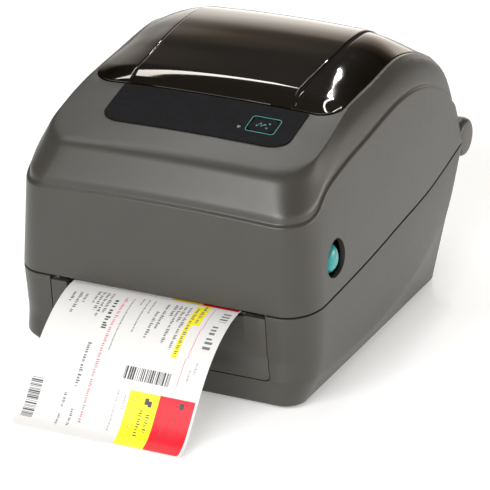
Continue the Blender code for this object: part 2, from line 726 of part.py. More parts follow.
def rod_y(name, y, xz, r, coll, seg=16, mat=None):
    bm = bmesh.new()
    loops = []
    for sy in y:
        ring = []
        for k in range(seg):
            a = 2 * math.pi * (k + 0.5) / seg
            ring.append(bm.verts.new(at(xz[0] + r * math.cos(a), sy, xz[1] + r * math.sin(a))))
        loops.append(ring)
    for k in range(seg):
        bm.faces.new((loops[0][k], loops[0][(k + 1) % seg], loops[1][(k + 1) % seg], loops[1][k]))
    bm.faces.new(loops[0])
    bm.faces.new(loops[1])
    return finish(bm, name, mat, (xz[0], y[0], xz[1]), coll)


def hinge_pins():
    for side, label in ((-1, "left"), (1, "right")):
        x = sorted((side * 42.0, side * 92.0))
        rod(f"hinge_pin_{label}", x, (HINGE_Y, HINGE_Z), PIN_R, STEEL)


# ---------------------------------------------------------------- cover

def cover_shell():
    rings = [seam_ring(), ridge_ring(), ridge_ring(2.0, 0.8), band_ring(), shoulder_ring(), top_ring()]
    shell = loft("cover_shell", rings, CASE, lid=top_z, floor=lambda x, y: station(SEAM, y),
                 origin=(0, HINGE_Y, HINGE_Z))
    rings = [seam_ring(WALL, -3), ridge_ring(4.6, -2.4), band_ring(WALL, -0.6),
             shoulder_ring(WALL, -0.45 * WALL), top_ring(WALL, -WALL)]
    hollow = loft("cover_hollow", rings, coll=CUTTERS, lid=lambda x, y: top_z(x, y) - WALL,
                  floor=lambda x, y: station(SEAM, y) - 3)
    cut(shell, hollow)
    opening = slab("window_opening", window_columns(0.35, True), lambda x: window_front(x * 0.9956) - 0.35,
                   lambda x: window_back(x * 0.9956) + 0.35, 2, lambda x, y: 190.0, lambda x, y: 120.0, None)
    PARTS.objects.unlink(opening)
    CUTTERS.objects.link(opening)
    opening.hide_render = True
    opening.display_type = "WIRE"
    cut(shell, opening)
    for side, label in ((-1, "left"), (1, "right")):
        x = sorted((side * BARREL_END, side * (BARREL_MID + GAP)))
        join(shell, rod(f"cover_barrel_{label}", x, (HINGE_Y, HINGE_Z), BARREL_R, coll=CUTTERS))
    cut(shell, rod("cover_swing", (-BARREL_MID - GAP, BARREL_MID + GAP), (HINGE_Y, HINGE_Z), BARREL_R + 0.7,
                   coll=CUTTERS))
    for side, label in ((-1, "left"), (1, "right")):
        x = sorted((side * (BARREL_MID - 1), side * (BARREL_END + 4)))
        cut(shell, rod(f"cover_pin_bore_{label}", x, (HINGE_Y, HINGE_Z), PIN_R + 0.15, coll=CUTTERS))
        cut(shell, oval_x(f"latch_hole_{label}", sorted((side * 80.0, side * 100.0)), (40.5, 86.0), 9.6, 11.2))
    cut(shell, panel_block("button_hole", BUTTON_W / 2 + 0.6, BUTTON_D / 2 + 0.6, -6, 6))
    lens = disc_z("lens_hole", (29.4, 51.0), (140, 160), 2.2, coll=CUTTERS, seg=12)
    cut(shell, lens)
    for side in (-1, 1):
        x = sorted((side * FRAME_X, side * (FRAME_X + 2.4)))
        join(shell, plate_x(f"frame_lug_{side}", [(30, 139), (30, 146.3), (44, 149.8), (44, 139)], x,
                            coll=CUTTERS))
    return shell


def window_columns(grow=0.0, coarse=False):
    half = [0, 28, RAISED_HALF, RAISED_HALF + 1.0, 64, 68, 72, 76, 79, WIN_HALF]
    if coarse:
        half = [0, 66, 70, 74, 77.5, 79.3, WIN_HALF]
    half = [h * (WIN_HALF + grow) / WIN_HALF for h in half]
    return [-h for h in reversed(half[1:])] + half


def oval_x(name, x, yz, ry, rz, coll=CUTTERS, seg=24):
    """Teardrop-like oval prism along X, narrower at the top."""
    outline = []
    for k in range(seg):
        a = 2 * math.pi * k / seg
        squeeze = 1 - 0.12 * math.sin(a)
        outline.append((yz[0] + ry * squeeze * math.cos(a), yz[1] + rz * math.sin(a)))
    return plate_x(name, outline, x, coll=coll)


def panel_block(name, half_x, half_y, low, high, mat=None, coll=CUTTERS, bevel=0.0, origin=None):
    """Block standing square on the sloping panel at the feed button."""
    bm = bmesh.new()
    bmesh.ops.create_cube(bm, size=1.0)
    for v in bm.verts:
        v.co.x *= 2 * half_x
        v.co.y *= 2 * half_y
        v.co.z = (v.co.z + 0.5) * (high - low) + low
    if bevel:
        upright = [e for e in bm.edges if abs(e.verts[0].co.z - e.verts[1].co.z) > 0.1]
        bmesh.ops.bevel(bm, geom=upright, offset=bevel, segments=3, affect="EDGES")
    turn = Matrix.Rotation(PANEL_SLOPE, 4, "X")
    base = Vector((BUTTON_X, BUTTON_Y, top_z(BUTTON_X, BUTTON_Y)))
    for v in bm.verts:
        v.co = at(*(turn @ v.co + base))
    home = (BUTTON_X, BUTTON_Y, top_z(BUTTON_X, BUTTON_Y))
    return finish(bm, name, mat, home, coll)


def window():
    return slab("window", window_columns(), window_front, window_back, 20, window_z,
                lambda x, y: window_z(x, y) - WIN_T, SMOKED, origin=(0, HINGE_Y, HINGE_Z))


def overlay_front(x):
    if x < -42:
        return 38 + (-42 - x) * 0.72
    if x > 44:
        return 38 + (x - 44) * 0.72
    return 38.0


def control_panel():
    columns = [-56, -49, -42, -28, -14, 0, 14, 30, 44, 50, 57]
    sheet = slab("control_panel", columns, overlay_front, lambda x: 73.6, 5,
                 lambda x, y: top_z(x, y) + 0.85, lambda x, y: top_z(x, y) + 0.3, OVERLAY,
                 origin=(0, HINGE_Y, HINGE_Z))
    cut(sheet, panel_block("overlay_hole", BUTTON_W / 2 + 0.35, BUTTON_D / 2 + 0.35, -3, 3))
    cut(sheet, disc_z("overlay_lens_hole", (29.4, 51.0), (148, 158), 1.9, coll=CUTTERS, seg=12))
    disc_z("status_lens", (29.4, 51.0), None, None, LENS, seg=12,
           steps=((149.2, 1.5), (154.2, 1.5), (154.4, 1.1)))
    panel_block("feed_button", BUTTON_W / 2, BUTTON_D / 2, -3.4, 1.2, OVERLAY, PARTS, bevel=1.2)
    board = box("control_board", (12, 56), (44, 68), (144.5, 146.0), BOARD, origin=(34, 56, 145))
    board.rotation_euler.x = PANEL_SLOPE
    board.location += at(0, 0.9, 0.6) - at(0, 0, 0)
    return sheet


def ribbon_frame():
    outline = [(6.6, 71), (6.6, 84), (30, 128), (30, 138.6), (44, 138.6), (80, 151), (104, 147), (104, 130),
               (60, 100), (24, 71)]
    frame = plate_x("ribbon_frame", outline, (-FRAME_X - 2.4, -FRAME_X), FRAME)
    right = plate_x("ribbon_plate_right", outline, (FRAME_X, FRAME_X + 2.4), coll=CUTTERS)
    bars = (box("frame_bar_low", (-61, 61), (9, 20), (81.4, 83.8), coll=CUTTERS),
            box("frame_bar_mid", (-61, 61), (62, 65), (134, 144), coll=CUTTERS))
    join(frame, bars[0], bars[1], right)
    for tag, y, z, r in (("take", TAKE_Y, TAKE_Z, 3.9), ("supply", SUPPLY_Y, SUPPLY_Z, 3.9),
                         ("latch", LATCH_Y, LATCH_Z, 3.3)):
        cut(frame, rod(f"frame_bore_{tag}", (-66, 66), (y, z), r, coll=CUTTERS, seg=20))
    return frame


def head_and_ribbon():
    plate_x("printhead", [(7.4, 60.6), (7.4, 66.4), (22.6, 66.4), (22.6, 62.4), (17, 60.6)],
            (-57, 57), ALLOY)
    bracket = box("printhead_bracket", (-58.5, 58.5), (7.4, 22.6), (66.8, 70.4), STEEL)
    for side in (-1, 1):
        x = sorted((side * 44.0, side * 50.0))
        join(bracket, box(f"bracket_post_{side}", x, (12, 17), (70, 81.0), coll=CUTTERS))
    turned_x("supply_core", ((-62.4, 3.6), (-59.8, 3.6), (-59.8, 6.4), (59.8, 6.4), (59.8, 3.6), (62.4, 3.6)),
             (SUPPLY_Y, SUPPLY_Z), CARD)
    rod("ribbon_roll", (-55, 55), (SUPPLY_Y, SUPPLY_Z), SUPPLY_R, RIBBON, bore=6.6, seg=32)
    turned_x("takeup_core", ((-62.4, 3.6), (-59.8, 3.6), (-59.8, 6.4), (59.8, 6.4), (59.8, 3.6), (62.4, 3.6)),
             (TAKE_Y, TAKE_Z), NYLON)
    rod("takeup_roll", (-55, 55), (TAKE_Y, TAKE_Z), 10.8, RIBBON, bore=6.6, seg=32)
    path = [(99.3, 127.6), (62.0, 94.4), (25.6, 61.6), (23.4, 60.3), (20, 60.15), (8, 60.15), (5.8, 60.5),
            (4.9, 61.6), (4.9, 84.0), (40.9, 129.3)]
    ribbon_x("ribbon_film", path, (-55, 55), 0.12, RIBBON)


def latch():
    rod("latch_shaft", (-89, 89), (LATCH_Y, LATCH_Z), 3.0, STEEL, seg=16)
    for side, label in ((-1, "left"), (1, "right")):
        x = sorted((side * 83.0, side * 87.6))
        outline = [(31.4, 99), (31.4, 108.6), (40.6, 108.6), (42.0, 96), (43.0, 66), (46.4, 60.4), (46.4, 57.0),
                   (38.4, 57.0), (38.0, 80)]
        arm = plate_x(f"latch_lever_{label}", outline, x, TEAL, origin=(0, LATCH_Y, LATCH_Z))
        cut(arm, rod(f"lever_bore_{label}", sorted((side * 80, side * 90)), (LATCH_Y, LATCH_Z), 3.12,
                     coll=CUTTERS, seg=16))
        pad = []
        for sx, scale in ((87.0, 1.0), (92.4, 1.0), (94.2, 0.82), (95.0, 0.5)):
            ring = []
            for k in range(20):
                a = 2 * math.pi * k / 20
                squeeze = 1 - 0.16 * math.sin(a)
                ring.append((side * sx, PAD_Y + 6.9 * scale * squeeze * math.cos(a),
                             PAD_Z - 0.6 + 7.8 * scale * math.sin(a)))
            pad.append(ring)
        join(arm, loft(f"lever_pad_{label}", pad, coll=CUTTERS))


# ---------------------------------------------------------------- moving groups

COVER_PIECES = ("window", "control_panel", "control_board", "status_lens", "feed_button", "ribbon_frame",
                "printhead", "printhead_bracket", "ribbon_film", "supply_core", "ribbon_roll",
                "takeup_core", "takeup_roll", "latch_shaft", "latch_lever_left", "latch_lever_right")


def hang_cover():
    """Everything that lifts with the cover hangs from an empty on the hinge axis."""
    axis = bpy.data.objects.new("cover_axis", None)
    PARTS.objects.link(axis)
    axis.location = at(0, HINGE_Y, HINGE_Z)
    axis.matrix_world = Matrix.Translation(at(0, HINGE_Y, HINGE_Z))
    for name in ("cover_shell",) + COVER_PIECES:
        obj = bpy.data.objects[name]
        obj.parent = axis
        obj.matrix_parent_inverse = axis.matrix_world.inverted()


# ---------------------------------------------------------------- build

base_shell()
bottom_plate()
feet_and_screws()
front_bezel()
inner_frame()
hold_down_bar()
drive()
media_parts()
label_strip()
electronics()
rear_panel()
hinge_pins()
cover_shell()
window()
control_panel()
ribbon_frame()
head_and_ribbon()
latch()
hang_cover()

bpy.context.view_layer.update()
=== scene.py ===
"""Looks of the desktop thermal label printer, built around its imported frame.

Lengths are millimetres in the same body coordinates as the solid model: X across, Y counted
from the front face to the back, Z up from the table. at() turns them into world metres.
"""
import json
import math
import random

import bmesh
import bpy
from mathutils import Matrix, Vector

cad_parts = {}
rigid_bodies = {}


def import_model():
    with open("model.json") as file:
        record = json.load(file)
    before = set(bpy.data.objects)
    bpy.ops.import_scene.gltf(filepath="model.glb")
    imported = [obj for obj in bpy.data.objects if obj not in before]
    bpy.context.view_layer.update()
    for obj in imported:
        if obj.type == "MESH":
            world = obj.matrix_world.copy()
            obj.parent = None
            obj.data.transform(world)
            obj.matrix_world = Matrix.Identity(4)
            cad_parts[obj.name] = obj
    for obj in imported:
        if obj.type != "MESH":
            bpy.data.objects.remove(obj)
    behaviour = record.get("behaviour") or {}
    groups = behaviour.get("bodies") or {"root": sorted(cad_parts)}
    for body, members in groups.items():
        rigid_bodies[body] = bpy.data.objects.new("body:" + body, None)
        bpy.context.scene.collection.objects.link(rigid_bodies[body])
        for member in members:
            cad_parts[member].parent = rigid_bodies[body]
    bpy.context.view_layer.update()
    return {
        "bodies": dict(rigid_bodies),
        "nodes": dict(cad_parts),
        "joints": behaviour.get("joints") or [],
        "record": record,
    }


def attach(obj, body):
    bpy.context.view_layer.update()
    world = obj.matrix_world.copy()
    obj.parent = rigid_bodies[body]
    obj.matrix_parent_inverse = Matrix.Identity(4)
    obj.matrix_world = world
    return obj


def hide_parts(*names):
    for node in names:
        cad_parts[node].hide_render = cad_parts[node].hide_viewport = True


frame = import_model()
NODES = frame["nodes"]
BODY_OF = {n: body for body, names in frame["record"]["behaviour"]["bodies"].items() for n in names}
SLOT_OF = {row["node"]: row["material_slot"] for row in frame["record"]["subparts"]}

MM = 0.001
FINE = 3                 # round parts get this many times the solid model's facets

# Overall body
HALF_W = 96.5            # half width at the seam
BODY_BACK = 250.0        # rear face at the seam
Y_SHIFT = -90.67         # puts the middle of the bounding box on the origin
FOOT_H = 2.0             # the shell's lower edge above the table
WALL = 2.6
GAP = 0.3

# Stations along the side of the body: (distance from the front face, height)
SEAM = ((0, 61.9), (46, 64.1), (91, 67.0), (137, 71.7), (185, 77.0), (230, 87.3), (252, 93.0))
CREASE = ((0, 20), (40, 17), (100, 16), (140, 19), (186, 30), (216, 43), (232, 46))
ARCH = ((0, 117), (11, 117.6), (21, 120.8), (35, 130.4), (60, 136.8), (93, 141.6), (133, 147.4),
        (153, 148.1), (173, 146.2), (192, 140.9), (216, 128.6), (239, 110.4))
TOP = ((15, 144.2), (45, 151.8), (75, 160.0), (92, 163.0), (127, 165.8), (153, 168.7),
       (170, 168.2), (190, 163.7), (205, 158.0), (220, 150.7), (230, 143.0))
PANEL = ((75, 160.6), (79, 163.2), (85, 164.8), (95, 167.3), (110, 170.8), (123, 173.2),
         (137, 175.0), (153, 176.7), (170, 176.8), (180, 175.6), (190, 172.0), (204, 164.4),
         (214, 157.0), (221, 151.6))
TOP_CROWN = 2.0          # fall of the top surface from the middle to the side
RIDGE_CROWN = 1.8
PANEL_CROWN = 1.5

# Rounded front corners, as half-axes across and along the printer
CORNER = (20.0, 25.0)
RIDGE_HALF = 93.4
REAR_R = 14.0

# Window
WIN_HALF = 80.0
WIN_FRONT = 75.0
WIN_BACK = 221.0
WIN_R = 14.0
WIN_BACK_R = 10.0
WIN_T = 2.6
RAISED_HALF = 54.7
RAISED_STEP = 1.2

# Hinge
HINGE = (247.0, 89.0)    # its axis, as (y, height)
COVER_ORIGIN = (0, *HINGE)
BARREL_R = 12.5
BARREL_MID = 54.7        # the base's barrel reaches this far each side
BARREL_END = 93.0
BARREL_CAP = 96.2        # the hinge's rounded end caps reach this far
PIN_R = 3.0

# Front bezel
BEZEL_HALF = 70.6
BEZEL_FOOT = 20.0
SLOT_HALF = 57.5

# Label path
LABEL_MID = -1.5
LABEL_HALF = 54.0
LABEL_T = 0.3
PLATEN = (12.0, 52.6)    # axes are given as (y, height)
PLATEN_R = 6.5
ROLL = (135.0, 78.0)
ROLL_R = 47.0
CORE_R = 14.2

# Ribbon and head
TAKE = (50.0, 122.0)
SUPPLY = (88.0, 140.0)
SUPPLY_R = 15.5
FRAME_X = 60.5           # inner face of the ribbon frame's side plates

# Latch
LATCH = (36.0, 104.0)    # axis of the levers
PAD = (41.5, 85.4)       # middle of the finger pad
PAD_HALF = (7.9, 9.0)
LATCH_HOLE = (42.4, 86.0)
LATCH_HOLE_HALF = (12.5, 11.6)

# Motor and gears
MOTOR = (37.9, 33.2)
IDLER = (26.9, 45.5)
GEAR_X = (-72.5, -67.5)

PORT_BACK = 229.2        # the sockets in the rear wall end this far back
HOLD_DOWN = (66.0, 64.6)  # bar over the label, just in front of the roll

# Feed button on the sloping panel
BUTTON_X = 43.0
BUTTON_Y = 55.4
BUTTON_W = 16.4
BUTTON_D = 13.0
LENS_PLACE = (29.4, 51.0)
PANEL_SLOPE = math.atan2(8.0, 30.0)

VISUAL = bpy.data.collections.new("printer_looks")
CUTTERS = bpy.data.collections.new("cutters")
bpy.context.scene.collection.children.link(VISUAL)
bpy.context.scene.collection.children.link(CUTTERS)
LOOKS = {}               # node name -> the piece that stands for it
SIDES = ((-1, "left"), (1, "right"))


# ---------------------------------------------------------------- materials

def shader_of(name):
    """New node material, and the few nodes every finish here uses."""
    mat = bpy.data.materials.new(name)
    mat.use_nodes = True
    tree = mat.node_tree
    shader = tree.nodes["Principled BSDF"]
    place = tree.nodes.new("ShaderNodeTexCoord")
    return mat, tree, shader, place


def put(node, **values):
    """Set sockets by name, with _ for a space."""
    for socket, value in values.items():
        node.inputs[socket.replace("_", " ")].default_value = value


def noise(tree, place, scale, detail=3.0, stretch=None):
    node = tree.nodes.new("ShaderNodeTexNoise")
    put(node, Scale=scale, Detail=detail)
    source = place.outputs["Object"]
    if stretch:
        mapping = tree.nodes.new("ShaderNodeMapping")
        put(mapping, Scale=stretch)
        tree.links.new(source, mapping.inputs["Vector"])
        source = mapping.outputs["Vector"]
    tree.links.new(source, node.inputs["Vector"])
    return node.outputs["Fac"]


def mapped(tree, value, start, end, low, high, eased=False):
    """A value's range from start to end, turned into one from low to high."""
    node = tree.nodes.new("ShaderNodeMapRange")
    if eased:
        node.interpolation_type = "SMOOTHSTEP"
    put(node, From_Min=start, From_Max=end, To_Min=low, To_Max=high)
    tree.links.new(value, node.inputs["Value"])
    return node.outputs["Result"]


def two_tone(tree, value, dark, light):
    node = tree.nodes.new("ShaderNodeValToRGB")
    for element, position, color in zip(node.color_ramp.elements, (0.3, 0.7), (dark, light)):
        element.position = position
        element.color = (*color, 1.0)
    tree.links.new(value, node.inputs["Fac"])
    return node.outputs["Color"]


def bumped(tree, shader, value, strength, depth):
    node = tree.nodes.new("ShaderNodeBump")
    put(node, Strength=strength, Distance=depth * MM)
    tree.links.new(value, node.inputs["Height"])
    tree.links.new(node.outputs["Normal"], shader.inputs["Normal"])


def shade(color, factor):
    return tuple(min(1.0, c * factor) for c in color)


def surface(name, color, roughness, tint=0.06, mottle=45.0, grain=1500.0, relief=0.3, depth=0.05,
            uneven=0.05, metallic=0.0, specular=0.5, stretch=None, coat=0.0):
    """Moulded, cast or machined surface: slow colour drift, uneven gloss and a fine grain."""
    mat, tree, shader, place = shader_of(name)
    drift = noise(tree, place, mottle, 4.0)
    tree.links.new(two_tone(tree, drift, shade(color, 1 - tint), shade(color, 1 + tint)),
                   shader.inputs["Base Color"])
    gloss = noise(tree, place, mottle * 6, 3.0, stretch)
    tree.links.new(mapped(tree, gloss, 0.3, 0.7, roughness - uneven, roughness + uneven),
                   shader.inputs["Roughness"])
    bumped(tree, shader, noise(tree, place, grain, 2.0, stretch), relief, depth)
    put(shader, Metallic=metallic, Specular_IOR_Level=specular, Coat_Weight=coat, Coat_Roughness=0.1)
    return mat


def wound(name, color, pitch, roughness):
    """Edge-on layers of a wound roll: fine rings about the roll's own axis."""
    mat, tree, shader, place = shader_of(name)
    rings = tree.nodes.new("ShaderNodeTexWave")
    rings.wave_type = "RINGS"
    rings.rings_direction = "X"
    put(rings, Scale=1.0 / (pitch * MM * 20), Distortion=0.6, Detail=2.0, Detail_Scale=30.0)
    tree.links.new(place.outputs["Object"], rings.inputs["Vector"])
    layers = rings.outputs["Fac"]
    tree.links.new(two_tone(tree, layers, shade(color, 0.86), color), shader.inputs["Base Color"])
    gloss = mapped(tree, noise(tree, place, 300.0), 0.3, 0.7, roughness - 0.06, roughness + 0.06)
    tree.links.new(gloss, shader.inputs["Roughness"])
    bumped(tree, shader, layers, 0.25, 0.06)
    return mat


CASE = surface("case_grey", (0.043, 0.0396, 0.0330), 0.36, tint=0.04, grain=1700.0, relief=0.5, uneven=0.015)
CASE_DARK = surface("case_dark", (0.036, 0.034, 0.030), 0.5, tint=0.06, relief=0.4)
SMOKED = surface("smoked_window", (0.0044, 0.0034, 0.0021), 0.045, tint=0.12, mottle=12.0, grain=90.0,
                 relief=0.04, depth=0.02, uneven=0.015, specular=0.72)
put(SMOKED.node_tree.nodes["Principled BSDF"], Specular_Tint=(1.0, 0.93, 0.84, 1.0))
OVERLAY = surface("panel_black", (0.0080, 0.0074, 0.0088), 0.58, specular=0.06, tint=0.08, grain=2200.0,
                  relief=0.25, depth=0.02)
TEAL = surface("teal_plastic", (0.022, 0.300, 0.290), 0.22, tint=0.07, grain=1400.0, relief=0.15)
TEAL_INK = surface("teal_ink", (0.020, 0.260, 0.235), 0.4, tint=0.05, relief=0.1)
LENS = surface("status_lens", (0.115, 0.115, 0.105), 0.25, tint=0.05, relief=0.05, coat=0.5)
CARD = surface("core_card", (0.420, 0.300, 0.170), 0.85, tint=0.14, mottle=120.0, grain=700.0, relief=0.5,
               stretch=(1.0, 4.0, 4.0))
RUBBER = surface("black_rubber", (0.018, 0.018, 0.018), 0.78, tint=0.1, grain=900.0, relief=0.4)
DARK_STEEL = surface("dark_steel", (0.060, 0.060, 0.062), 0.45, metallic=1.0, relief=0.2)
STEEL = surface("steel", (0.560, 0.560, 0.570), 0.28, tint=0.06, grain=500.0, relief=0.2, depth=0.02,
                metallic=1.0, stretch=(0.08, 2.0, 2.0))
FRAME = surface("frame_black", (0.030, 0.030, 0.032), 0.52, tint=0.1, relief=0.35)
NYLON = surface("nylon_white", (0.680, 0.670, 0.620), 0.45, tint=0.04, relief=0.2)
BOARD = surface("circuit_green", (0.010, 0.090, 0.035), 0.42, tint=0.18, mottle=260.0, relief=0.3)
RIBBON = surface("ribbon_black", (0.010, 0.010, 0.012), 0.27, tint=0.15, stretch=(0.2, 3.0, 3.0), relief=0.2)
ALLOY = surface("head_alloy", (0.600, 0.600, 0.600), 0.33, metallic=1.0, relief=0.2, stretch=(0.1, 2.0, 2.0))
SOCKET = surface("socket_black", (0.014, 0.014, 0.014), 0.42, tint=0.12, relief=0.3)
PAPER = surface("label_white", (0.770, 0.755, 0.735), 0.5, tint=0.012, mottle=60.0, grain=2600.0, relief=0.12,
                depth=0.02)
PAPER_EDGE = wound("label_roll_white", (0.820, 0.800, 0.760), 0.5, 0.6)
FILM_EDGE = wound("ribbon_roll_black", (0.016, 0.016, 0.018), 0.35, 0.32)
INK = surface("print_black", (0.060, 0.058, 0.060), 0.5, tint=0.25, mottle=900.0, relief=0.1)
GREY_INK = surface("print_grey", (0.170, 0.165, 0.170), 0.5, tint=0.2, mottle=900.0, relief=0.1)
RED_INK = surface("print_red", (0.760, 0.004, 0.020), 0.38, tint=0.05, relief=0.1)
PINK_INK = surface("print_rose", (0.760, 0.200, 0.240), 0.5, tint=0.1, relief=0.1)
YELLOW_INK = surface("print_yellow", (0.960, 0.840, 0.010), 0.42, tint=0.03, relief=0.1)
AMBER_INK = surface("print_amber", (0.850, 0.510, 0.020), 0.42, tint=0.04, relief=0.1)


# ---------------------------------------------------------------- helpers

def at(x, y, z):
    """World position of a point given in body millimetres."""
    return Vector((x, y + Y_SHIFT, z)) * MM


def span(side, near, far):
    """Range of x between two distances from the middle, on one side."""
    return sorted((side * near, side * far))


def station(points, y):
    """Height at y along a smooth curve through (y, height) stations."""
    last = len(points) - 1
    if y <= points[0][0]:
        return points[0][1]
    if y >= points[last][0]:
        return points[last][1]
    k = next(i for i in range(last) if points[i + 1][0] >= y)
    (y0, z0), (y1, z1) = points[k], points[k + 1]
    pitch = (z1 - z0) / (y1 - y0)
    enter = leave = pitch
    if k > 0:
        enter = (z1 - points[k - 1][1]) / (y1 - points[k - 1][0])
    if k + 1 < last:
        leave = (points[k + 2][1] - z0) / (points[k + 2][0] - y0)
    t = (y - y0) / (y1 - y0)
    span = y1 - y0
    return (z0 * (2 * t ** 3 - 3 * t ** 2 + 1) + enter * span * (t ** 3 - 2 * t ** 2 + t)
            + z1 * (3 * t ** 2 - 2 * t ** 3) + leave * span * (t ** 3 - t ** 2))


def smooth(t):
    """Ease from 0 to 1 with level ends."""
    t = min(max(t, 0.0), 1.0)
    return t * t * (3 - 2 * t)


def rounding(over):
    """How far a quarter circle of radius 1 has dropped at this distance across it."""
    return 1 - math.sqrt(max(0.0, 1 - over * over))


def finish(bm, name, mat=None, origin=(0, 0, 0)):
    """Turn a bmesh in world metres into an object whose origin is `origin` (body mm).

    With a material it is a visible piece, and without one it is a hidden cutter.
    """
    home = at(*origin)
    bmesh.ops.translate(bm, verts=bm.verts, vec=-home)
    bmesh.ops.recalc_face_normals(bm, faces=bm.faces)
    mesh = bpy.data.meshes.new(name)
    bm.to_mesh(mesh)
    bm.free()
    obj = bpy.data.objects.new(f"{name}_look" if mat else name, mesh)
    obj.location = home
    if mat:
        VISUAL.objects.link(obj)
        mesh.materials.append(mat)
        LOOKS[name] = obj
    else:
        CUTTERS.objects.link(obj)
        obj.hide_render = True
    return obj


def settle(obj):
    """Replace an object's mesh by what its modifiers make of it."""
    bpy.context.view_layer.update()
    graph = bpy.context.evaluated_depsgraph_get()
    mesh = bpy.data.meshes.new_from_object(obj.evaluated_get(graph))
    obj.modifiers.clear()
    obj.data = mesh


def soften(obj, width, angle=35.0):
    """Round off the sharp edges and shade the rest smooth."""
    if width:
        mod = obj.modifiers.new("edges", "BEVEL")
        mod.width = width * MM
        mod.segments = 2
        mod.limit_method = "ANGLE"
        mod.angle_limit = math.radians(angle)
        mod.use_clamp_overlap = True
        settle(obj)
    obj.data.shade_smooth()
    obj.data.set_sharp_from_angle(angle=math.radians(32))


def skin(bm, loops, wrap=False, caps=True):
    """Faces between matching rings of vertices. The last ring meets the first, or both ends are closed."""
    count = len(loops[0])
    for a, b in zip(loops, loops[1:] + loops[:1] if wrap else loops[1:]):
        for k in range(count):
            bm.faces.new((a[k], a[(k + 1) % count], b[(k + 1) % count], b[k]))
    if caps and not wrap:
        bm.faces.new(loops[0])
        bm.faces.new(loops[-1])


def sheet(bm, upper, lower):
    """Closed slab between two matching grids of vertices."""
    rows = len(upper) - 1
    cols = len(upper[0]) - 1
    for grid in (upper, lower):
        for i in range(rows):
            for k in range(cols):
                bm.faces.new((grid[i][k], grid[i + 1][k], grid[i + 1][k + 1], grid[i][k + 1]))
    for i in range(rows):
        for k in (0, cols):
            bm.faces.new((upper[i][k], upper[i + 1][k], lower[i + 1][k], lower[i][k]))
    for k in range(cols):
        for i in (0, rows):
            bm.faces.new((upper[i][k], upper[i][k + 1], lower[i][k + 1], lower[i][k]))


def box(name, x, y, z, mat=None, origin=(0, 0, 0), bevel=0.0):
    bm = bmesh.new()
    bmesh.ops.create_cube(bm, size=1.0)
    lo = at(x[0], y[0], z[0])
    hi = at(x[1], y[1], z[1])
    for v in bm.verts:
        v.co = Vector([lo[i] + (v.co[i] + 0.5) * (hi[i] - lo[i]) for i in range(3)])
    if bevel:
        bmesh.ops.bevel(bm, geom=bm.edges[:], offset=bevel * MM, segments=1, affect="EDGES")
    return finish(bm, name, mat, origin)


def loft(name, rings, mat=None, origin=(0, 0, 0), wrap=False):
    """Skin through closed sections, with flat ends or with the last one joined to the first."""
    bm = bmesh.new()
    skin(bm, [[bm.verts.new(at(*p)) for p in ring] for ring in rings], wrap)
    return finish(bm, name, mat, origin)


def revolved(name, sections, point, mat, home, seg, bore=0.0):
    """Solid of revolution from (distance along the axis, radius) sections.

    point(along, right, up) says where a point beside the axis is.
    """
    outline = list(sections)
    if bore:
        outline += [(sections[-1][0], bore), (sections[0][0], bore)]
    angles = [2 * math.pi * (k + 0.5) / (seg * FINE) for k in range(seg * FINE)]
    rings = [[point(s, r * math.cos(a), r * math.sin(a)) for a in angles] for s, r in outline]
    return loft(name, rings, mat, home, wrap=bool(bore))


def rod(name, x, yz, r, mat=None, seg=24, bore=0.0, chamfer=0.0):
    """Cylinder along X, with an optional bore."""
    sections = [(x[0], r), (x[1], r)]
    if chamfer:
        sections = [(x[0], r - chamfer), (x[0] + chamfer, r), (x[1] - chamfer, r), (x[1], r - chamfer)]
    return turned_x(name, sections, yz, mat, seg, bore)


def turned_x(name, sections, yz, mat=None, seg=24, bore=0.0):
    """Solid of revolution about a line along X."""
    return revolved(name, sections, lambda s, u, v: (s, yz[0] + u, yz[1] + v), mat, (0, *yz), seg, bore)


def rod_y(name, y, xz, r):
    """Cylinder along Y."""
    return revolved(name, [(s, r) for s in y], lambda s, u, v: (xz[0] + u, s, xz[1] + v), None,
                    (xz[0], y[0], xz[1]), 16)


def disc_z(name, xy, steps, mat=None, seg=24):
    """Upright stepped cylinder from (z, radius) pairs."""
    return revolved(name, steps, lambda s, u, v: (xy[0] + u, xy[1] + v, s), mat, (*xy, 0), seg)


def hole_z(name, xy, z, r):
    """Cutter for a round upright hole."""
    return disc_z(name, xy, [(s, r) for s in z], seg=12)


def plate_x(name, outline, x, mat=None, origin=(0, 0, 0)):
    """Flat plate: an outline in the Y-Z plane extruded along X."""
    return loft(name, [[(sx, *p) for p in outline] for sx in x], mat, origin)


def plate_y(name, outline, y):
    """Prism along Y from an outline in the X-Z plane."""
    return loft(name, [[(px, sy, pz) for px, pz in outline] for sy in y])


def ribbon_x(name, path, x, thick, mat):
    """Thin sheet running along a path in the Y-Z plane."""
    bm = bmesh.new()
    faces = []
    for reach in (thick / 2, -thick / 2):
        line = []
        for k, (py, pz) in enumerate(path):
            a = path[max(k - 1, 0)]
            b = path[min(k + 1, len(path) - 1)]
            part = reach / math.hypot(b[0] - a[0], b[1] - a[1])
            line.append((py - (b[1] - a[1]) * part, pz + (b[0] - a[0]) * part))
        faces.append([[bm.verts.new(at(sx, *p)) for p in line] for sx in x])
    sheet(bm, *faces)
    return finish(bm, name, mat)


def combine(obj, tools, operation):
    for tool in tools:
        mod = obj.modifiers.new(tool.name, "BOOLEAN")
        mod.operation = operation
        mod.solver = "EXACT"
        mod.object = tool
    return obj


def cut(obj, *tools):
    return combine(obj, tools, "DIFFERENCE")


def join(obj, *tools):
    return combine(obj, tools, "UNION")


# ---------------------------------------------------------------- body sections

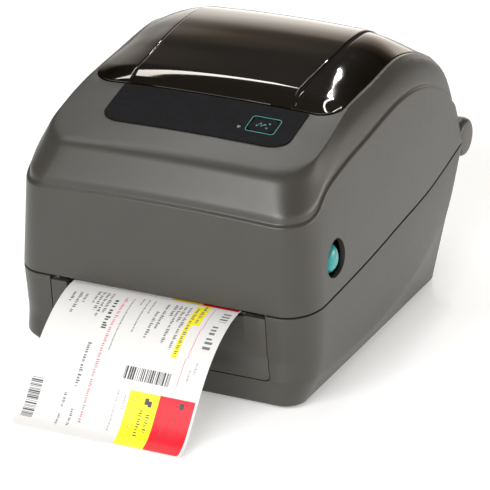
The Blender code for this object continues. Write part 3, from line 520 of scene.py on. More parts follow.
def plan(half, front, back, corner, rear_r, arc=7, across=16, along=44):
    """Closed rounded outline seen from above, always with the same number of points.

    It starts in the middle of the front left corner and runs along the front first.
    """
    rx, ry = corner
    wide = half - rx
    rear_wide = half - rear_r
    deep = back - rear_r - front - ry

    def front_corner(side, k):
        a = math.radians(45 * k / arc)
        return (side * (wide + rx * math.sin(a)), front + ry - ry * math.cos(a))

    def rear_corner(side, k):
        a = math.radians(45 * k / arc)
        return (side * (rear_wide + rear_r * math.cos(a)), back - rear_r + rear_r * math.sin(a))

    points = [front_corner(-1, arc - k) for k in range(arc)]
    points += [(-wide + 2 * wide * k / across, front) for k in range(across)]
    points += [front_corner(1, k) for k in range(2 * arc)]
    points += [(half, front + ry + deep * k / along) for k in range(along)]
    points += [rear_corner(1, k) for k in range(2 * arc)]
    points += [(rear_wide - 2 * rear_wide * k / across, back) for k in range(across)]
    points += [rear_corner(-1, 2 * arc - k) for k in range(2 * arc)]
    points += [(-half, back - rear_r - deep * k / along) for k in range(along)]
    return points + [front_corner(-1, 2 * arc - k) for k in range(arc)]


def crown(x, y, amount):
    """Slight rise of the front edges towards the middle."""
    return amount * max(0.0, 1 - (x / 72.0) ** 2) * (1 - smooth(y / 30.0))


def top_z(x, y):
    return station(TOP, y) - TOP_CROWN * (x / 82.0) ** 2


def seam_ring(inset=0.0, lift=0.0):
    corner = (CORNER[0] - inset, CORNER[1] - inset)
    ring = plan(HALF_W - inset, inset, BODY_BACK - inset, corner, REAR_R - inset)
    return [(x, y, station(SEAM, y) + lift) for x, y in ring]


def ridge_ring(inset=0.0, lift=0.0):
    ring = plan(RIDGE_HALF - inset, inset, 244 - inset, (CORNER[0] - inset, CORNER[1] - inset), 14)
    return [(x, y, station(ARCH, y) + crown(x, y, RIDGE_CROWN) + lift) for x, y in ring]


def band_z(x, y):
    return station(ARCH, y) + 5.2 - 2.6 * smooth((y - 3) / 40.0) + crown(x, y, 1.6)


def band_ring(inset=0.0, lift=0.0):
    ring = plan(92.0 - inset, 3 + inset, 241.5 - inset, (19.5 - inset, 24 - inset), 13)
    return [(x, y, band_z(x, y) + lift) for x, y in ring]


def shoulder_ring(inset=0.0, lift=0.0):
    """Half-way up the shoulder: flat across the front, bulging along the sides and the back."""
    rows = []
    for x, y in plan(88.4 - inset, 9 + inset, 236.5 - inset, (20 - inset, 24.5 - inset), 13):
        low = band_z(x, 3 + (y - 9) * 1.048)
        high = top_z(x, 15 + (y - 9) * 0.927)
        bulge = 2.5 * smooth((y - 30) / 70.0) + 1.5 * smooth((y - 180) / 50.0)
        rows.append((x, y, (low + high) / 2 + bulge + lift))
    return rows


def top_ring(inset=0.0, lift=0.0):
    rows = []
    for x, y in plan(84.6 - inset, 15 + inset, 226 - inset, (20 - inset, 24 - inset), 12):
        x *= 1 - 0.028 * smooth((y - 50) / 42.0)
        rows.append((x, y, top_z(x, y) + lift))
    return rows


# ---------------------------------------------------------------- outer shells

def filleted(rings, radii, steps=4):
    """Round a profile's corners. Rings hold matching points; a radius may depend on y."""
    made = []
    for j, ring in enumerate(rings):
        if not radii[j]:
            made.append([Vector(p) for p in ring])
            continue
        loops = [[] for _ in range(steps + 1)]
        for k, point in enumerate(ring):
            p = Vector(point)
            radius = radii[j](p.y) if callable(radii[j]) else radii[j]
            to_a = Vector(rings[j - 1][k]) - p
            to_b = Vector(rings[(j + 1) % len(rings)][k]) - p
            start = p + to_a.normalized() * min(radius, to_a.length * 0.5)
            end = p + to_b.normalized() * min(radius, to_b.length * 0.5)
            for s in range(steps + 1):
                t = s / steps
                loops[s].append(start * (1 - t) ** 2 + p * (2 * t * (1 - t)) + end * t * t)
        made.extend(loops)
    return made


def front_to_side(front, side, reach=45.0):
    """A radius that changes from the front to the sides."""
    return lambda y: front + (side - front) * smooth(y / reach)


def opening_ring(drop=0.0):
    ring = plan(WIN_HALF + 0.35, WIN_FRONT - 0.35, WIN_BACK + 0.35, (WIN_R, WIN_R), 10)
    return [(x, y, top_z(x, y) - drop) for x, y in ring]


def between(low, high, t):
    """Ring on the top surface, part of the way from one ring to another."""
    spots = [(a[0] + (b[0] - a[0]) * t, a[1] + (b[1] - a[1]) * t) for a, b in zip(low, high)]
    return [(x, y, top_z(x, y)) for x, y in spots]


def cover_shell():
    edge = opening_ring()
    rings = [seam_ring(WALL), seam_ring(), ridge_ring(), ridge_ring(2.0, 0.8), band_ring(), shoulder_ring(),
             top_ring()]
    radii = [0, 0.7, 1.3, 0.9, front_to_side(2.0, 5.0), 12.0, front_to_side(3.0, 10.0)]
    for t in (0.16, 0.33, 0.5, 0.66, 0.83):
        rings.append(between(top_ring(), edge, t))
        radii.append(0)
    rings += [edge, opening_ring(WALL), top_ring(WALL, -WALL), shoulder_ring(WALL, -0.45 * WALL),
              band_ring(WALL, -0.6), ridge_ring(4.6, -2.4)]
    radii += [0.4, 0, 2.0, 6.0, 2.0, 2.0]
    shell = loft("cover_shell", filleted(rings, radii), CASE, COVER_ORIGIN, wrap=True)
    cut(shell, rod("cover_swing", (-BARREL_MID - GAP, BARREL_MID + GAP), HINGE, BARREL_R + 0.7))
    for side, label in SIDES:
        cut(shell, oval_x(f"latch_hole_{label}", span(side, 80, 100), LATCH_HOLE, *LATCH_HOLE_HALF))
    cut(shell, panel_block("button_hole", BUTTON_W / 2 + 0.6, BUTTON_D / 2 + 0.6, -6, 6))
    cut(shell, hole_z("lens_hole", LENS_PLACE, (140, 160), 2.2))
    settle(shell)
    for side, label in SIDES:
        inner = BARREL_MID + GAP
        sections = [(inner, BARREL_R - 0.6), (inner + 0.6, BARREL_R), (87.6, BARREL_R),
                    (88.0, BARREL_R - 0.9), (88.7, BARREL_R - 0.9), (89.1, BARREL_R + 0.1)]
        for k in range(9):
            a = math.radians(11.25 * k)
            sections.append((BARREL_CAP - 4.6 * (1 - math.sin(a)), BARREL_R + 0.1 - 3.4 * (1 - math.cos(a))))
        sections.append((BARREL_CAP + 0.2, 5.0))
        turned_x(f"cover_barrel_{label}", [(side * x, r) for x, r in sections], HINGE, CASE, seg=32)


def base_shell():
    foot = [(tucked(x, y), y, FOOT_H) for x, y in plan(87, 6.6, 226, (12, 13), 12)]
    foot_in = [(tucked(x, y), y, FOOT_H) for x, y in plan(84.2, 9.4, 223.2, (10, 11), 10)]
    crease = [(x, y, station(CREASE, y)) for x, y in plan(94, 0.6, 231, (18.5, 22), 14)]
    crease_in = [(x, y, station(CREASE, y)) for x, y in plan(91.2, 5.0, 227.5, (16, 19), 11)]
    waist = []
    for x, y in plan(95.2, 3.4, 237.5, (19.3, 24), 14):
        low = station(CREASE, y)
        waist.append((x, y, low + (station(SEAM, y) - low) * 0.29))
    rings = [seam_ring(2.8, -1.0), seam_ring(0, -1.0), waist, crease, foot, foot_in, crease_in]
    radii = [0, 0.7, front_to_side(2.5, 14.0), front_to_side(1.6, 3.0), 1.6, 0, 2.0]
    shell = loft("base_shell", filleted(rings, radii), CASE, wrap=True)
    cut(shell, plate_y("bezel_bay", bezel_outline(80.0, GAP + 0.1), (-4, 9)),
        rod("base_swing_left", (-BARREL_END - GAP, -BARREL_MID), HINGE, BARREL_R + 0.7),
        rod("base_swing_right", (BARREL_MID, BARREL_END + GAP), HINGE, BARREL_R + 0.7))
    for label, x, z in (("jack", (-66.5, -53.5), (16, 29)), ("usb", (-41.5, -27.5), (16, 29.5)),
                        ("serial", (-16.5, 16.5), (16, 30)), ("network", (25.5, 42.5), (16, 31.5)),
                        ("switch", (53.5, 68.5), (14, 35))):
        cut(shell, box(f"{label}_hole", x, (216, 238), z))
    for x in range(-60, 61, 20):
        cut(shell, box(f"vent_{x}", (x - 7, x + 7), (220, 250), (52, 54.5)))
    settle(shell)
    rod("base_barrel", (-BARREL_MID, BARREL_MID), HINGE, BARREL_R, CASE, chamfer=0.6, seg=32)


def tucked(x, y):
    """The front left corner of the foot is drawn in towards the middle."""
    return x + 24.0 * smooth((-x - 50) / 37.0) * (1 - smooth((y - 12) / 50.0))


def bezel_outline(top, grow):
    """Front view of the bezel: upright sides that step out near the foot."""
    right = [(69.4 + grow, top), (69.6 + grow, 34.0), (70.3 + grow, 32.5), (70.6 + grow, 28.0),
             (72.2 + grow, 23.2), (71.8 + grow, 21.2 - grow), (69.5 + grow, BEZEL_FOOT - grow)]
    return right + [(-x, z) for x, z in reversed(right)]


def front_bezel():
    outline = [(0.3, 59.0), (1.9, 45), (3.2, 33), (3.1, 31), (0.9, BEZEL_FOOT), (4.6, BEZEL_FOOT),
               (4.6, 59.0)]
    bezel = plate_x("front_bezel", outline, (-BEZEL_HALF - 4, BEZEL_HALF + 4), CASE)
    combine(bezel, [plate_y("bezel_edge", bezel_outline(70.0, 0.0), (-3, 8))], "INTERSECT")
    scoop = [(-3, 70), (-3, 38), (2.0, 38), (2.7, 46), (2.8, 57.0), (12, 57.0), (12, 70)]
    cut(bezel, plate_x("bezel_scoop", scoop, (LABEL_MID - SLOT_HALF, LABEL_MID + SLOT_HALF)))


# ---------------------------------------------------------------- window

PANEL_FINE = ((60, 163.9), (75, 166.3), (85, 167.9), (95, 169.4), (110, 171.6), (123, 173.6), (137, 175.2))
PANEL_FINE += PANEL[7:]
PANEL_ROUND = 1.8        # width of the raised panel's rounded edge
PANEL_TAPER = 2.1        # the raised panel is narrower in front by this much each side
NOSE_REACH = 13.0        # length of the rolled front edge
NOSE_CUT = 0.84          # the roll stops at this part of a full quarter turn


def window_front(x):
    return WIN_FRONT + WIN_R * rounding(max(0.0, abs(x) - (WIN_HALF - WIN_R)) / WIN_R)


def window_back(x):
    return WIN_BACK - WIN_BACK_R * rounding(max(0.0, abs(x) - (WIN_HALF - WIN_BACK_R)) / WIN_BACK_R)


def window_flat(x, y):
    """Outer face before its front edge rolls over: raised middle, small step, falling wings."""
    near = min(abs(x), RAISED_HALF)
    middle = station(PANEL_FINE, y) + PANEL_CROWN * (1 - (near / RAISED_HALF) ** 2)
    step = RAISED_STEP * smooth((WIN_BACK - y) / 9.0)
    if abs(x) <= RAISED_HALF:
        roll = min((near - (RAISED_HALF - PANEL_ROUND)) / PANEL_ROUND, 1.0)
        return middle - step * rounding(max(roll, 0.0))
    s = (abs(x) - RAISED_HALF) / (WIN_HALF - RAISED_HALF)
    edge = top_z(WIN_HALF, y) + 0.6
    fall = edge - middle + step
    groove = 0.9 * max(0.0, 1 - abs(abs(x) - RAISED_HALF - 0.5) / 0.5)
    return middle - step + fall * (0.3 * s + 0.7 * s * s) - groove


def window_z(x, y):
    """Outer face: its front edge rolls down to the cover's top."""
    front = window_front(x)
    fall = max(window_flat(x, front) - top_z(x, front) - 0.9, 0.0)
    t = NOSE_CUT * (1 - min(max(y - front, 0.0) / NOSE_REACH, 1.0))
    return window_flat(x, y) - fall * rounding(t) / rounding(NOSE_CUT)


def window_shift(x, y):
    """The raised panel's edges lean inwards towards the front."""
    lean = max(0.0, 1 - abs(abs(x) - RAISED_HALF) / 24.0)
    return -math.copysign(PANEL_TAPER * smooth(lean) * (1 - smooth((y - 90) / 50.0)), x) if x else 0.0


def slab(name, columns, near, far, rows, upper, lower, mat, ease=1.0, shift=lambda x, y: 0.0):
    """Curved sheet over columns of (nearly) constant x, each from near(x) to far(x)."""
    bm = bmesh.new()
    faces = []
    for height in (upper, lower):
        grid = []
        for x in columns:
            runs = [near(x) + (far(x) - near(x)) * (k / rows) ** ease for k in range(rows + 1)]
            grid.append([bm.verts.new(at(x + shift(x, y), y, height(x, y))) for y in runs])
        faces.append(grid)
    sheet(bm, *faces)
    return finish(bm, name, mat, COVER_ORIGIN)


def window_columns():
    half = [4.0 * k for k in range(13)]
    half += [RAISED_HALF - PANEL_ROUND * math.cos(math.radians(a)) for a in (80, 65, 50, 38, 28, 19, 12, 6)]
    half += [RAISED_HALF + d for d in (0.0, 0.5, 1.0, 1.8, 3.0, 4.5, 6.5, 9.0)]
    half += [WIN_HALF - WIN_R + WIN_R * math.sin(math.radians(a)) for a in range(5, 91, 5)]
    half = sorted(set(round(h, 4) for h in half))
    return [-h for h in reversed(half[1:])] + half


def window():
    slab("window", window_columns(), window_front, window_back, 110, window_z,
         lambda x, y: min(window_z(x, y) - WIN_T * 0.6, window_flat(x, y) - WIN_T), SMOKED,
         ease=1.7, shift=window_shift)


# ---------------------------------------------------------------- control strip

OVERLAY_LEFT = -56.0
OVERLAY_RIGHT = 64.0
OVERLAY_CORNER = (13.0, 10.0)


def overlay_front(x):
    rx, ry = OVERLAY_CORNER
    return 38.0 + ry * rounding(max(OVERLAY_LEFT + rx - x, x - (OVERLAY_RIGHT - rx), 0.0) / rx)


def overlay_columns():
    rx = OVERLAY_CORNER[0]
    bend = [rx * (1 - math.sin(math.radians(a))) for a in range(0, 91, 9)]
    left = [OVERLAY_LEFT + b for b in bend]
    right = [OVERLAY_RIGHT - b for b in bend]
    middle = [OVERLAY_LEFT + rx + (OVERLAY_RIGHT - OVERLAY_LEFT - 2 * rx) * k / 20 for k in range(1, 20)]
    return sorted(set(left + right + middle))


def control_panel():
    film = slab("control_panel", overlay_columns(), overlay_front, lambda x: 73.6, 16,
                lambda x, y: top_z(x, y) + 0.75, lambda x, y: top_z(x, y) + 0.2, OVERLAY)
    cut(film, panel_block("overlay_hole", BUTTON_W / 2 + 0.35, BUTTON_D / 2 + 0.35, -3, 3))
    cut(film, hole_z("overlay_lens_hole", LENS_PLACE, (148, 158), 1.9))
    disc_z("status_lens", LENS_PLACE, ((149.2, 1.4), (153.9, 1.4), (154.15, 1.2), (154.25, 0.6)), LENS, 12)
    panel_block("feed_button", BUTTON_W / 2, BUTTON_D / 2, -3.4, 0.85, OVERLAY, bevel=2.0)
    board = box("control_board", (12, 56), (44, 68), (144.5, 146.0), BOARD, origin=(34, 56, 145))
    board.rotation_euler.x = PANEL_SLOPE
    board.location += Vector((0, 0.9, 0.6)) * MM


def on_panel(x, y, z):
    """World point given in the button's own tilted plane, in mm from its middle."""
    turn = Matrix.Rotation(PANEL_SLOPE, 4, "X")
    base = Vector((BUTTON_X, BUTTON_Y, top_z(BUTTON_X, BUTTON_Y)))
    return at(*(turn @ Vector((x, y, z)) + base))


def rounded_outline(half_x, half_y, radius, arc=10):
    points = []
    for cx, cy, start in ((1, 1, 0), (-1, 1, 90), (-1, -1, 180), (1, -1, 270)):
        for k in range(arc + 1):
            a = math.radians(start + 90 * k / arc)
            points.append((cx * (half_x - radius) + radius * math.cos(a),
                           cy * (half_y - radius) + radius * math.sin(a)))
    return points


def on_top(x, y, z):
    """World point on the crowned top round the button, in mm from the button's middle."""
    place_x, place_y = BUTTON_X + x, BUTTON_Y + y * math.cos(PANEL_SLOPE)
    return at(place_x, place_y, top_z(place_x, place_y) + z)


def ink_shape(bm, outlines, low, high, place=on_panel):
    """Flat printed shape between closed outlines: one outline filled, or a band between two."""
    rims = [[[bm.verts.new(place(x, y, z)) for x, y in line] for z in (low, high)] for line in outlines]
    for rim in rims:
        skin(bm, rim, caps=len(rims) == 1)
    if len(rims) == 2:
        for pair in zip(*rims):
            skin(bm, pair, caps=False)


def dot(cx, cy, r):
    return [(cx + r * math.cos(math.pi * k / 8), cy + r * math.sin(math.pi * k / 8)) for k in range(16)]


def button_mark():
    """Teal outline printed round the button, and a plain wave with two dots on it."""
    bm = bmesh.new()
    ink_shape(bm, [rounded_outline(BUTTON_W / 2 + 1.15, BUTTON_D / 2 + 0.95, 2.2),
                   rounded_outline(BUTTON_W / 2 + 0.78, BUTTON_D / 2 + 0.60, 1.9)], 0.70, 0.88, on_top)
    finish(bm, "button_outline", TEAL_INK, (BUTTON_X, BUTTON_Y, 150))
    bm = bmesh.new()
    course = [(-4.4 + 0.2 * k, 0.2 - 1.7 * math.sin(k * 0.42) * (1 if k < 19 else 0.35)) for k in range(31)]
    upper = [(x, y + 0.42) for x, y in course]
    lower = [(x, y - 0.42) for x, y in reversed(course)]
    ink_shape(bm, [upper + lower], 0.86, 0.93)
    for cx, cy in ((3.4, 2.0), (3.0, -2.3)):
        ink_shape(bm, [dot(cx, cy, 0.62)], 0.86, 0.93)
    finish(bm, "button_mark", TEAL_INK, (BUTTON_X, BUTTON_Y, 150))


# ---------------------------------------------------------------- label

LABEL_PATH = [(92.6, 101.6), (84, 86.4), (73.9, 68.4), (71.4, 64.6), (69.0, 62.2), (65.0, 60.9),
              (58, 60.4), (40, 59.8), (18, 59.45), (12, 59.45), (4, 59.5), (-2, 59.1), (-10, 57.4),
              (-20, 53.6), (-29, 48.6), (-38, 41.8), (-46, 34.0), (-53.5, 25.2), (-60, 17.0), (-66, 9.8),
              (-71.5, 5.0), (-78, 2.2)]
LABEL_SLOT_Y = 4.0       # where the label comes out, and its printed length starts
LABEL_DRAWN = 117.5      # length the print layout was drawn for
LABEL_CORNER = 4.0


def smooth_path(points, steps=5):
    """Points along a smooth curve through the given ones."""
    out = []
    for k in range(len(points) - 1):
        p0 = points[max(k - 1, 0)]
        p1 = points[k]
        p2 = points[k + 1]
        p3 = points[min(k + 2, len(points) - 1)]
        for s in range(steps):
            t = s / steps
            out.append(tuple(
                0.5 * (2 * p1[i] + (p2[i] - p0[i]) * t + (2 * p0[i] - 5 * p1[i] + 4 * p2[i] - p3[i]) * t * t
                       + (3 * p1[i] - p0[i] - 3 * p2[i] + p3[i]) * t ** 3) for i in (0, 1)))
    out.append(points[-1])
    return out


class Strip:
    """The label's course: finds the point and the normal at a length along it."""

    def __init__(self, path):
        self.path = path
        self.run = [0.0]
        for a, b in zip(path, path[1:]):
            self.run.append(self.run[-1] + math.hypot(b[0] - a[0], b[1] - a[1]))
        self.length = self.run[-1]
        self.slot = next(self.run[k] for k, p in enumerate(path) if p[0] <= LABEL_SLOT_Y)

    def point(self, s, lift=0.0):
        k = 0
        while k < len(self.run) - 2 and self.run[k + 1] < s:
            k += 1
        (y0, z0), (y1, z1) = self.path[k], self.path[k + 1]
        t = (s - self.run[k]) / (self.run[k + 1] - self.run[k])
        size = math.hypot(y1 - y0, z1 - z0)
        ny = (z1 - z0) / size
        nz = -(y1 - y0) / size
        return (y0 + (y1 - y0) * t + ny * lift, z0 + (z1 - z0) * t + nz * lift)

    def printed(self, v):
        """Length along the course for a length in the print layout."""
        return self.slot + v * (self.length - self.slot) / LABEL_DRAWN


def label_half(strip, s):
    """Half the label's width, less where its corners are rounded."""
    over = LABEL_CORNER - max(strip.length - s, 0.0)
    return LABEL_HALF - LABEL_CORNER * rounding(max(over, 0.0) / LABEL_CORNER)


def label_strip():
    strip = Strip(smooth_path(LABEL_PATH))
    lengths = [s for s in strip.run if s < strip.length - LABEL_CORNER]
    lengths += [strip.length - LABEL_CORNER * (1 - math.sin(math.radians(a))) for a in range(0, 91, 10)]
    across = [k / 10 - 1 for k in range(21)]
    bm = bmesh.new()
    faces = []
    for lift in (LABEL_T / 2, -LABEL_T / 2):
        grid = []
        for s in lengths:
            half = label_half(strip, s)
            y, z = strip.point(s, lift)
            grid.append([bm.verts.new(at(LABEL_MID + half * a, y, z)) for a in across])
        faces.append(grid)
    sheet(bm, *faces)
    finish(bm, "label_strip", PAPER)
    return strip


INKS = (INK, GREY_INK, RED_INK, PINK_INK, YELLOW_INK, AMBER_INK)
BLACK, GREY, RED, ROSE, YELLOW, AMBER = range(6)
PRINT_LIFT = LABEL_T / 2 + 0.02


class Print:
    """Ink patches a hair above the label, following its curve. u runs across, v along."""

    def __init__(self, strip):
        self.strip = strip
        self.bm = bmesh.new()
        self.rnd = random.Random(7)

    def patch(self, u, v, ink, layer=0):
        s0, s1 = (self.strip.printed(w) for w in v)
        rows = max(1, int(abs(s1 - s0) / 1.5))
        grid = []
        for k in range(rows + 1):
            s = s0 + (s1 - s0) * k / rows
            y, z = self.strip.point(s, PRINT_LIFT + 0.012 * layer)
            half = label_half(self.strip, s) - 0.6
            grid.append([self.bm.verts.new(at(LABEL_MID + max(-half, min(half, w)), y, z)) for w in u])
        for a, b in zip(grid, grid[1:]):
            self.bm.faces.new((a[0], a[1], b[1], b[0])).material_index = ink

    def words(self, u, start, end, height, ink=GREY, density=0.82):
        """A row of greeked words running along the label."""
        here = start
        while here < end:
            stop = min(here + self.rnd.uniform(1.6, 5.0) * height / 1.4, end)
            glyph = here
            while glyph < stop:
                wide = self.rnd.uniform(0.45, 0.75) * height
                tall = height * self.rnd.choice((0.72, 0.72, 1.0))
                base = u - height / 2
                self.patch((base, base + tall), (glyph, min(glyph + wide * density, stop)), ink, 1)
                glyph += wide * 1.28
            here = stop + height * 0.55

    def bars(self, u, v, along=True):
        """A bar code."""
        here, stop = v if along else u
        while here < stop:
            wide = self.rnd.choice((0.35, 0.35, 0.7, 1.05))
            bar = (here, here + wide)
            self.patch(u if along else bar, bar if along else v, BLACK, 1)
            here += wide + self.rnd.choice((0.35, 0.5, 0.9))

    def done(self):
        obj = finish(self.bm, "label_print", INKS[0])
        for mat in INKS[1:]:
            obj.data.materials.append(mat)


# Printed blocks and rules: place across, place along, ink, layer
BLOCKS = (
    ((10.5, 30.5), (-3.0, 2.0), AMBER, 0), ((30.5, 53.4), (-3.0, 2.0), RED, 0),
    ((-53.0, 53.4), (2.0, 2.3), GREY, 0), ((39.9, 40.3), (5.0, 26.0), ROSE, 0),
    ((39.2, 39.6), (26.0, 50.0), ROSE, 0), ((38.2, 38.6), (50.0, 70.0), ROSE, 0),
    ((32.5, 37.0), (2.5, 24.0), YELLOW, 0), ((29.0, 32.5), (5.0, 51.5), YELLOW, 0),
    ((11.5, 30.5), (78.0, 116.6), YELLOW, 0), ((30.5, 52.6), (78.0, 116.6), RED, 0),
    ((22.0, 24.4), (81.5, 85.8), BLACK, 1), ((24.4, 26.6), (83.0, 87.0), BLACK, 1),
    ((43.6, 46.4), (80.5, 84.5), BLACK, 1),
)
# Rows of greeked words: place across, start, end, letter height, ink, density
ROWS = (
    (49.0, 7.5, 19.0, 4.8, GREY, 0.62), (47.6, 21.5, 41.5, 4.8, GREY, 0.62), (34.6, 3.5, 22.0, 2.0),
    (30.9, 7.0, 49.0, 2.0), (26.4, 8.0, 46.0, 1.9), (23.2, 8.0, 24.0, 1.9), (20.2, 8.0, 43.0, 1.9),
    (17.2, 8.0, 20.0, 1.9), (12.6, 9.0, 33.0, 2.0), (8.8, 18.0, 41.0, 2.0), (3.4, 8.0, 22.0, 1.1),
    (-0.4, 8.0, 39.0, 1.1), (-4.0, 8.0, 15.0, 1.1), (-9.5, 10.0, 55.0, 1.0),
    (-14.0, 10.3, 107.0, 1.9, ROSE, 0.8), (-18.6, 14.5, 22.0, 3.0, BLACK), (-18.6, 24.0, 40.0, 3.0, BLACK),
    (-23.2, 9.0, 28.0, 2.0), (-26.4, 9.0, 33.0, 2.0), (-29.4, 9.0, 27.0, 2.0), (-32.4, 9.0, 21.0, 2.0),
    (-38.6, 14.0, 22.0, 2.0), (-42.4, 13.0, 33.0, 2.0), (-46.6, 14.0, 23.0, 2.0), (-22.4, 52.0, 83.0, 2.3),
    (-27.5, 88.0, 98.0, 1.7), (-20.5, 98.0, 110.0, 1.7), (-27.5, 103.0, 111.0, 1.7),
)
LATER_ROWS = (
    (4.4, 80.0, 108.0, 1.3, GREY, 0.5), (9.4, 82.0, 92.0, 1.3, GREY, 0.5), (46.5, 52.0, 60.0, 1.4, GREY, 0.5),
    (43.5, 58.0, 66.0, 1.2, GREY, 0.5), (26.0, 92.0, 104.0, 2.3, BLACK, 0.6),
    (21.6, 90.0, 108.0, 2.3, BLACK, 0.6),
    (15.8, 84.0, 104.0, 1.2, GREY, 0.5), (42.0, 88.0, 104.0, 1.5, BLACK, 0.35),
    (36.5, 86.0, 106.0, 1.5, BLACK, 0.35),
)


def label_print(strip):
    ink = Print(strip)
    for block in BLOCKS:
        ink.patch(*block)
    for row in ROWS:
        ink.words(*row)
    ink.bars((4.5, 33.5), (62.5, 71.5), along=False)
    ink.bars((-51.0, -43.5), (82.0, 110.0))
    for row in LATER_ROWS:
        ink.words(*row)
    ink.done()


# ---------------------------------------------------------------- inner parts

def bottom_plate():
    outline = [(tucked(x, y), y) for x, y in plan(83.7, 10.0, 222.4, (10, 11), 9)]
    plate = loft("bottom_plate", [[(x, y, z) for x, y in outline] for z in (3.6, 5.6)], CASE_DARK)
    for label, x, y in SCREW_PLACES:
        cut(plate, hole_z(f"plate_hole_{label}", (x, y), (0, 9), 1.9))


SCREW_PLACES = (("front_left", -58, 45), ("front_right", 58, 45),
                ("rear_left", -58, 196), ("rear_right", 58, 196))
FOOT_PLACES = (("front_left", -56, 26), ("front_right", 70, 28),
               ("rear_left", -70, 200), ("rear_right", 70, 200))


def feet_and_screws():
    for label, x, y in FOOT_PLACES:
        disc_z(f"rubber_foot_{label}", (x, y), ((0, 7.4), (0.8, 8.0), (3.3, 8.0)), RUBBER)
    for label, x, y in SCREW_PLACES:
        disc_z(f"case_screw_{label}", (x, y), ((1.9, 2.6), (2.3, 3.1), (3.3, 3.1), (3.3001, 1.5), (16, 1.5)),
               STEEL, 12)


def inner_frame():
    deck = box("inner_frame", (-88, 88), (24, 204.5), (26, 28.4), FRAME)
    wall = [(6.4, 28), (6.4, 60.4), (16, 60.4), (30, 66), (74, 70), (80, 60), (80, 28)]
    for side, label in SIDES:
        join(deck, plate_x(f"bay_wall_{label}", wall, span(side, 62, 65)))
    for label, x, y in SCREW_PLACES:
        join(deck, hole_z(f"leg_{label}", (x, y), (6.0, 27), 4.5))
    for label, x, y in SCREW_PLACES:
        cut(deck, hole_z(f"leg_bore_{label}", (x, y), (4.0, 17), 1.8))
    cut(deck, box("motor_notch", (-95, -73), (18, 58), (20, 34)))
    cut(deck, box("gear_notch", (-74, -66.2), (10, 60), (20, 34)))
    for side, label in SIDES:
        cut(deck, rod(f"bearing_seat_{label}", span(side, 61, 66), PLATEN, 5.3, seg=16))
        cut(deck, rod(f"bar_hole_{label}", span(side, 61, 66), HOLD_DOWN, 2.4, seg=12))
    join(deck, rod("idler_stub", (-73.5, -64.5), IDLER, 2.0, seg=12))


def hold_down_bar():
    rod("hold_down_bar", (-64.6, 64.6), HOLD_DOWN, 2.2, STEEL, seg=12)


def gear(name, yz, root, tip, teeth, mat, bore):
    """Spur wheel along X with plain straight teeth."""
    profile = []
    for k in range(teeth * 4):
        a = 2 * math.pi * k / (teeth * 4)
        r = tip if k % 4 in (0, 1) else root
        profile.append((yz[0] + r * math.cos(a), yz[1] + r * math.sin(a)))
    wheel = plate_x(name, profile, GEAR_X, mat, origin=(0, *yz))
    cut(wheel, rod(f"{name}_bore", (GEAR_X[0] - 5, GEAR_X[1] + 5), yz, bore, seg=16))


def drive():
    rod("platen_shaft", (-73.5, 68), PLATEN, 2.5, STEEL)
    rod("platen_rubber", (-57, 57), PLATEN, PLATEN_R, RUBBER, bore=2.7, chamfer=0.5)
    for side, label in SIDES:
        rod(f"platen_bearing_{label}", span(side, 60, 66), PLATEN, 5.0, NYLON, bore=2.75)
    gear("platen_gear", PLATEN, 6.1, 7.0, 14, NYLON, 2.7)
    gear("idler_gear", IDLER, 8.3, 9.2, 19, NYLON, 2.3)
    gear("motor_pinion", MOTOR, 6.1, 7.0, 14, STEEL, 1.7)
    turned_x("stepper_motor", ((-88.5, 12.0), (-87.5, 13.0), (-75, 13.0), (-75, 4.5), (-74, 4.5), (-74, 1.5),
                               (-68, 1.5)), MOTOR, STEEL)


def media_parts():
    box("tear_bar", (-61.6, 61.6), (4.9, 6.0), (56.2, 58.9), DARK_STEEL)
    box("media_sensor", (-8, 8), (34, 50), (28.8, 57.6), FRAME, bevel=0.8)
    guide = [(52, 28.8), (52, 62.0), (60, 64.5), (60, 28.8)]
    cheek = [(108, 28.8), (113, 84), (126, 97), (144, 97), (157, 84), (162, 28.8)]
    for side, label in SIDES:
        inner = LABEL_MID + side * (LABEL_HALF + 0.8)
        plate_x(f"media_guide_{label}", guide, sorted((inner, inner + side * 2.0)), TEAL)
    for side, label in SIDES:
        holder = plate_x(f"roll_holder_{label}", cheek, span(side, 57.5, 61), FRAME)
        join(holder, rod(f"roll_hub_{label}", span(side, 48, 58), ROLL, 11.6, chamfer=1.0))
    rod("label_roll", (-54, 54), ROLL, ROLL_R, PAPER_EDGE, bore=CORE_R + 0.1, seg=48)
    rod("roll_core", (-54.6, 54.6), ROLL, CORE_R, CARD, bore=12.3, seg=32)


def electronics():
    board = box("main_board", (-52, 52), (62, 190), (11, 12.6), BOARD)
    chips = (((-40, -10), (80, 110), 14.5), ((10, 42), (84, 104), 15.5), ((-30, -4), (130, 152), 14.2),
             ((14, 30), (140, 176), 22.0), ((-46, -34), (160, 190), 20.0))
    for k, (x, y, z) in enumerate(chips):
        join(board, box(f"chip_{k}", x, y, (12, z)))


def port(name, x, z, hollow, tongue=None):
    """Socket body let into the rear wall, open to the back."""
    front = PORT_BACK - 20
    body = box(name, (x[0] + GAP, x[1] - GAP), (front, PORT_BACK), (z[0] + GAP, z[1] - GAP), STEEL)
    cut(body, box(f"{name}_hollow", hollow[0], (front + 4, PORT_BACK + 3), hollow[1]))
    if tongue:
        join(body, box(f"{name}_tongue", tongue[0], (front + 2, PORT_BACK - 2), tongue[1]))


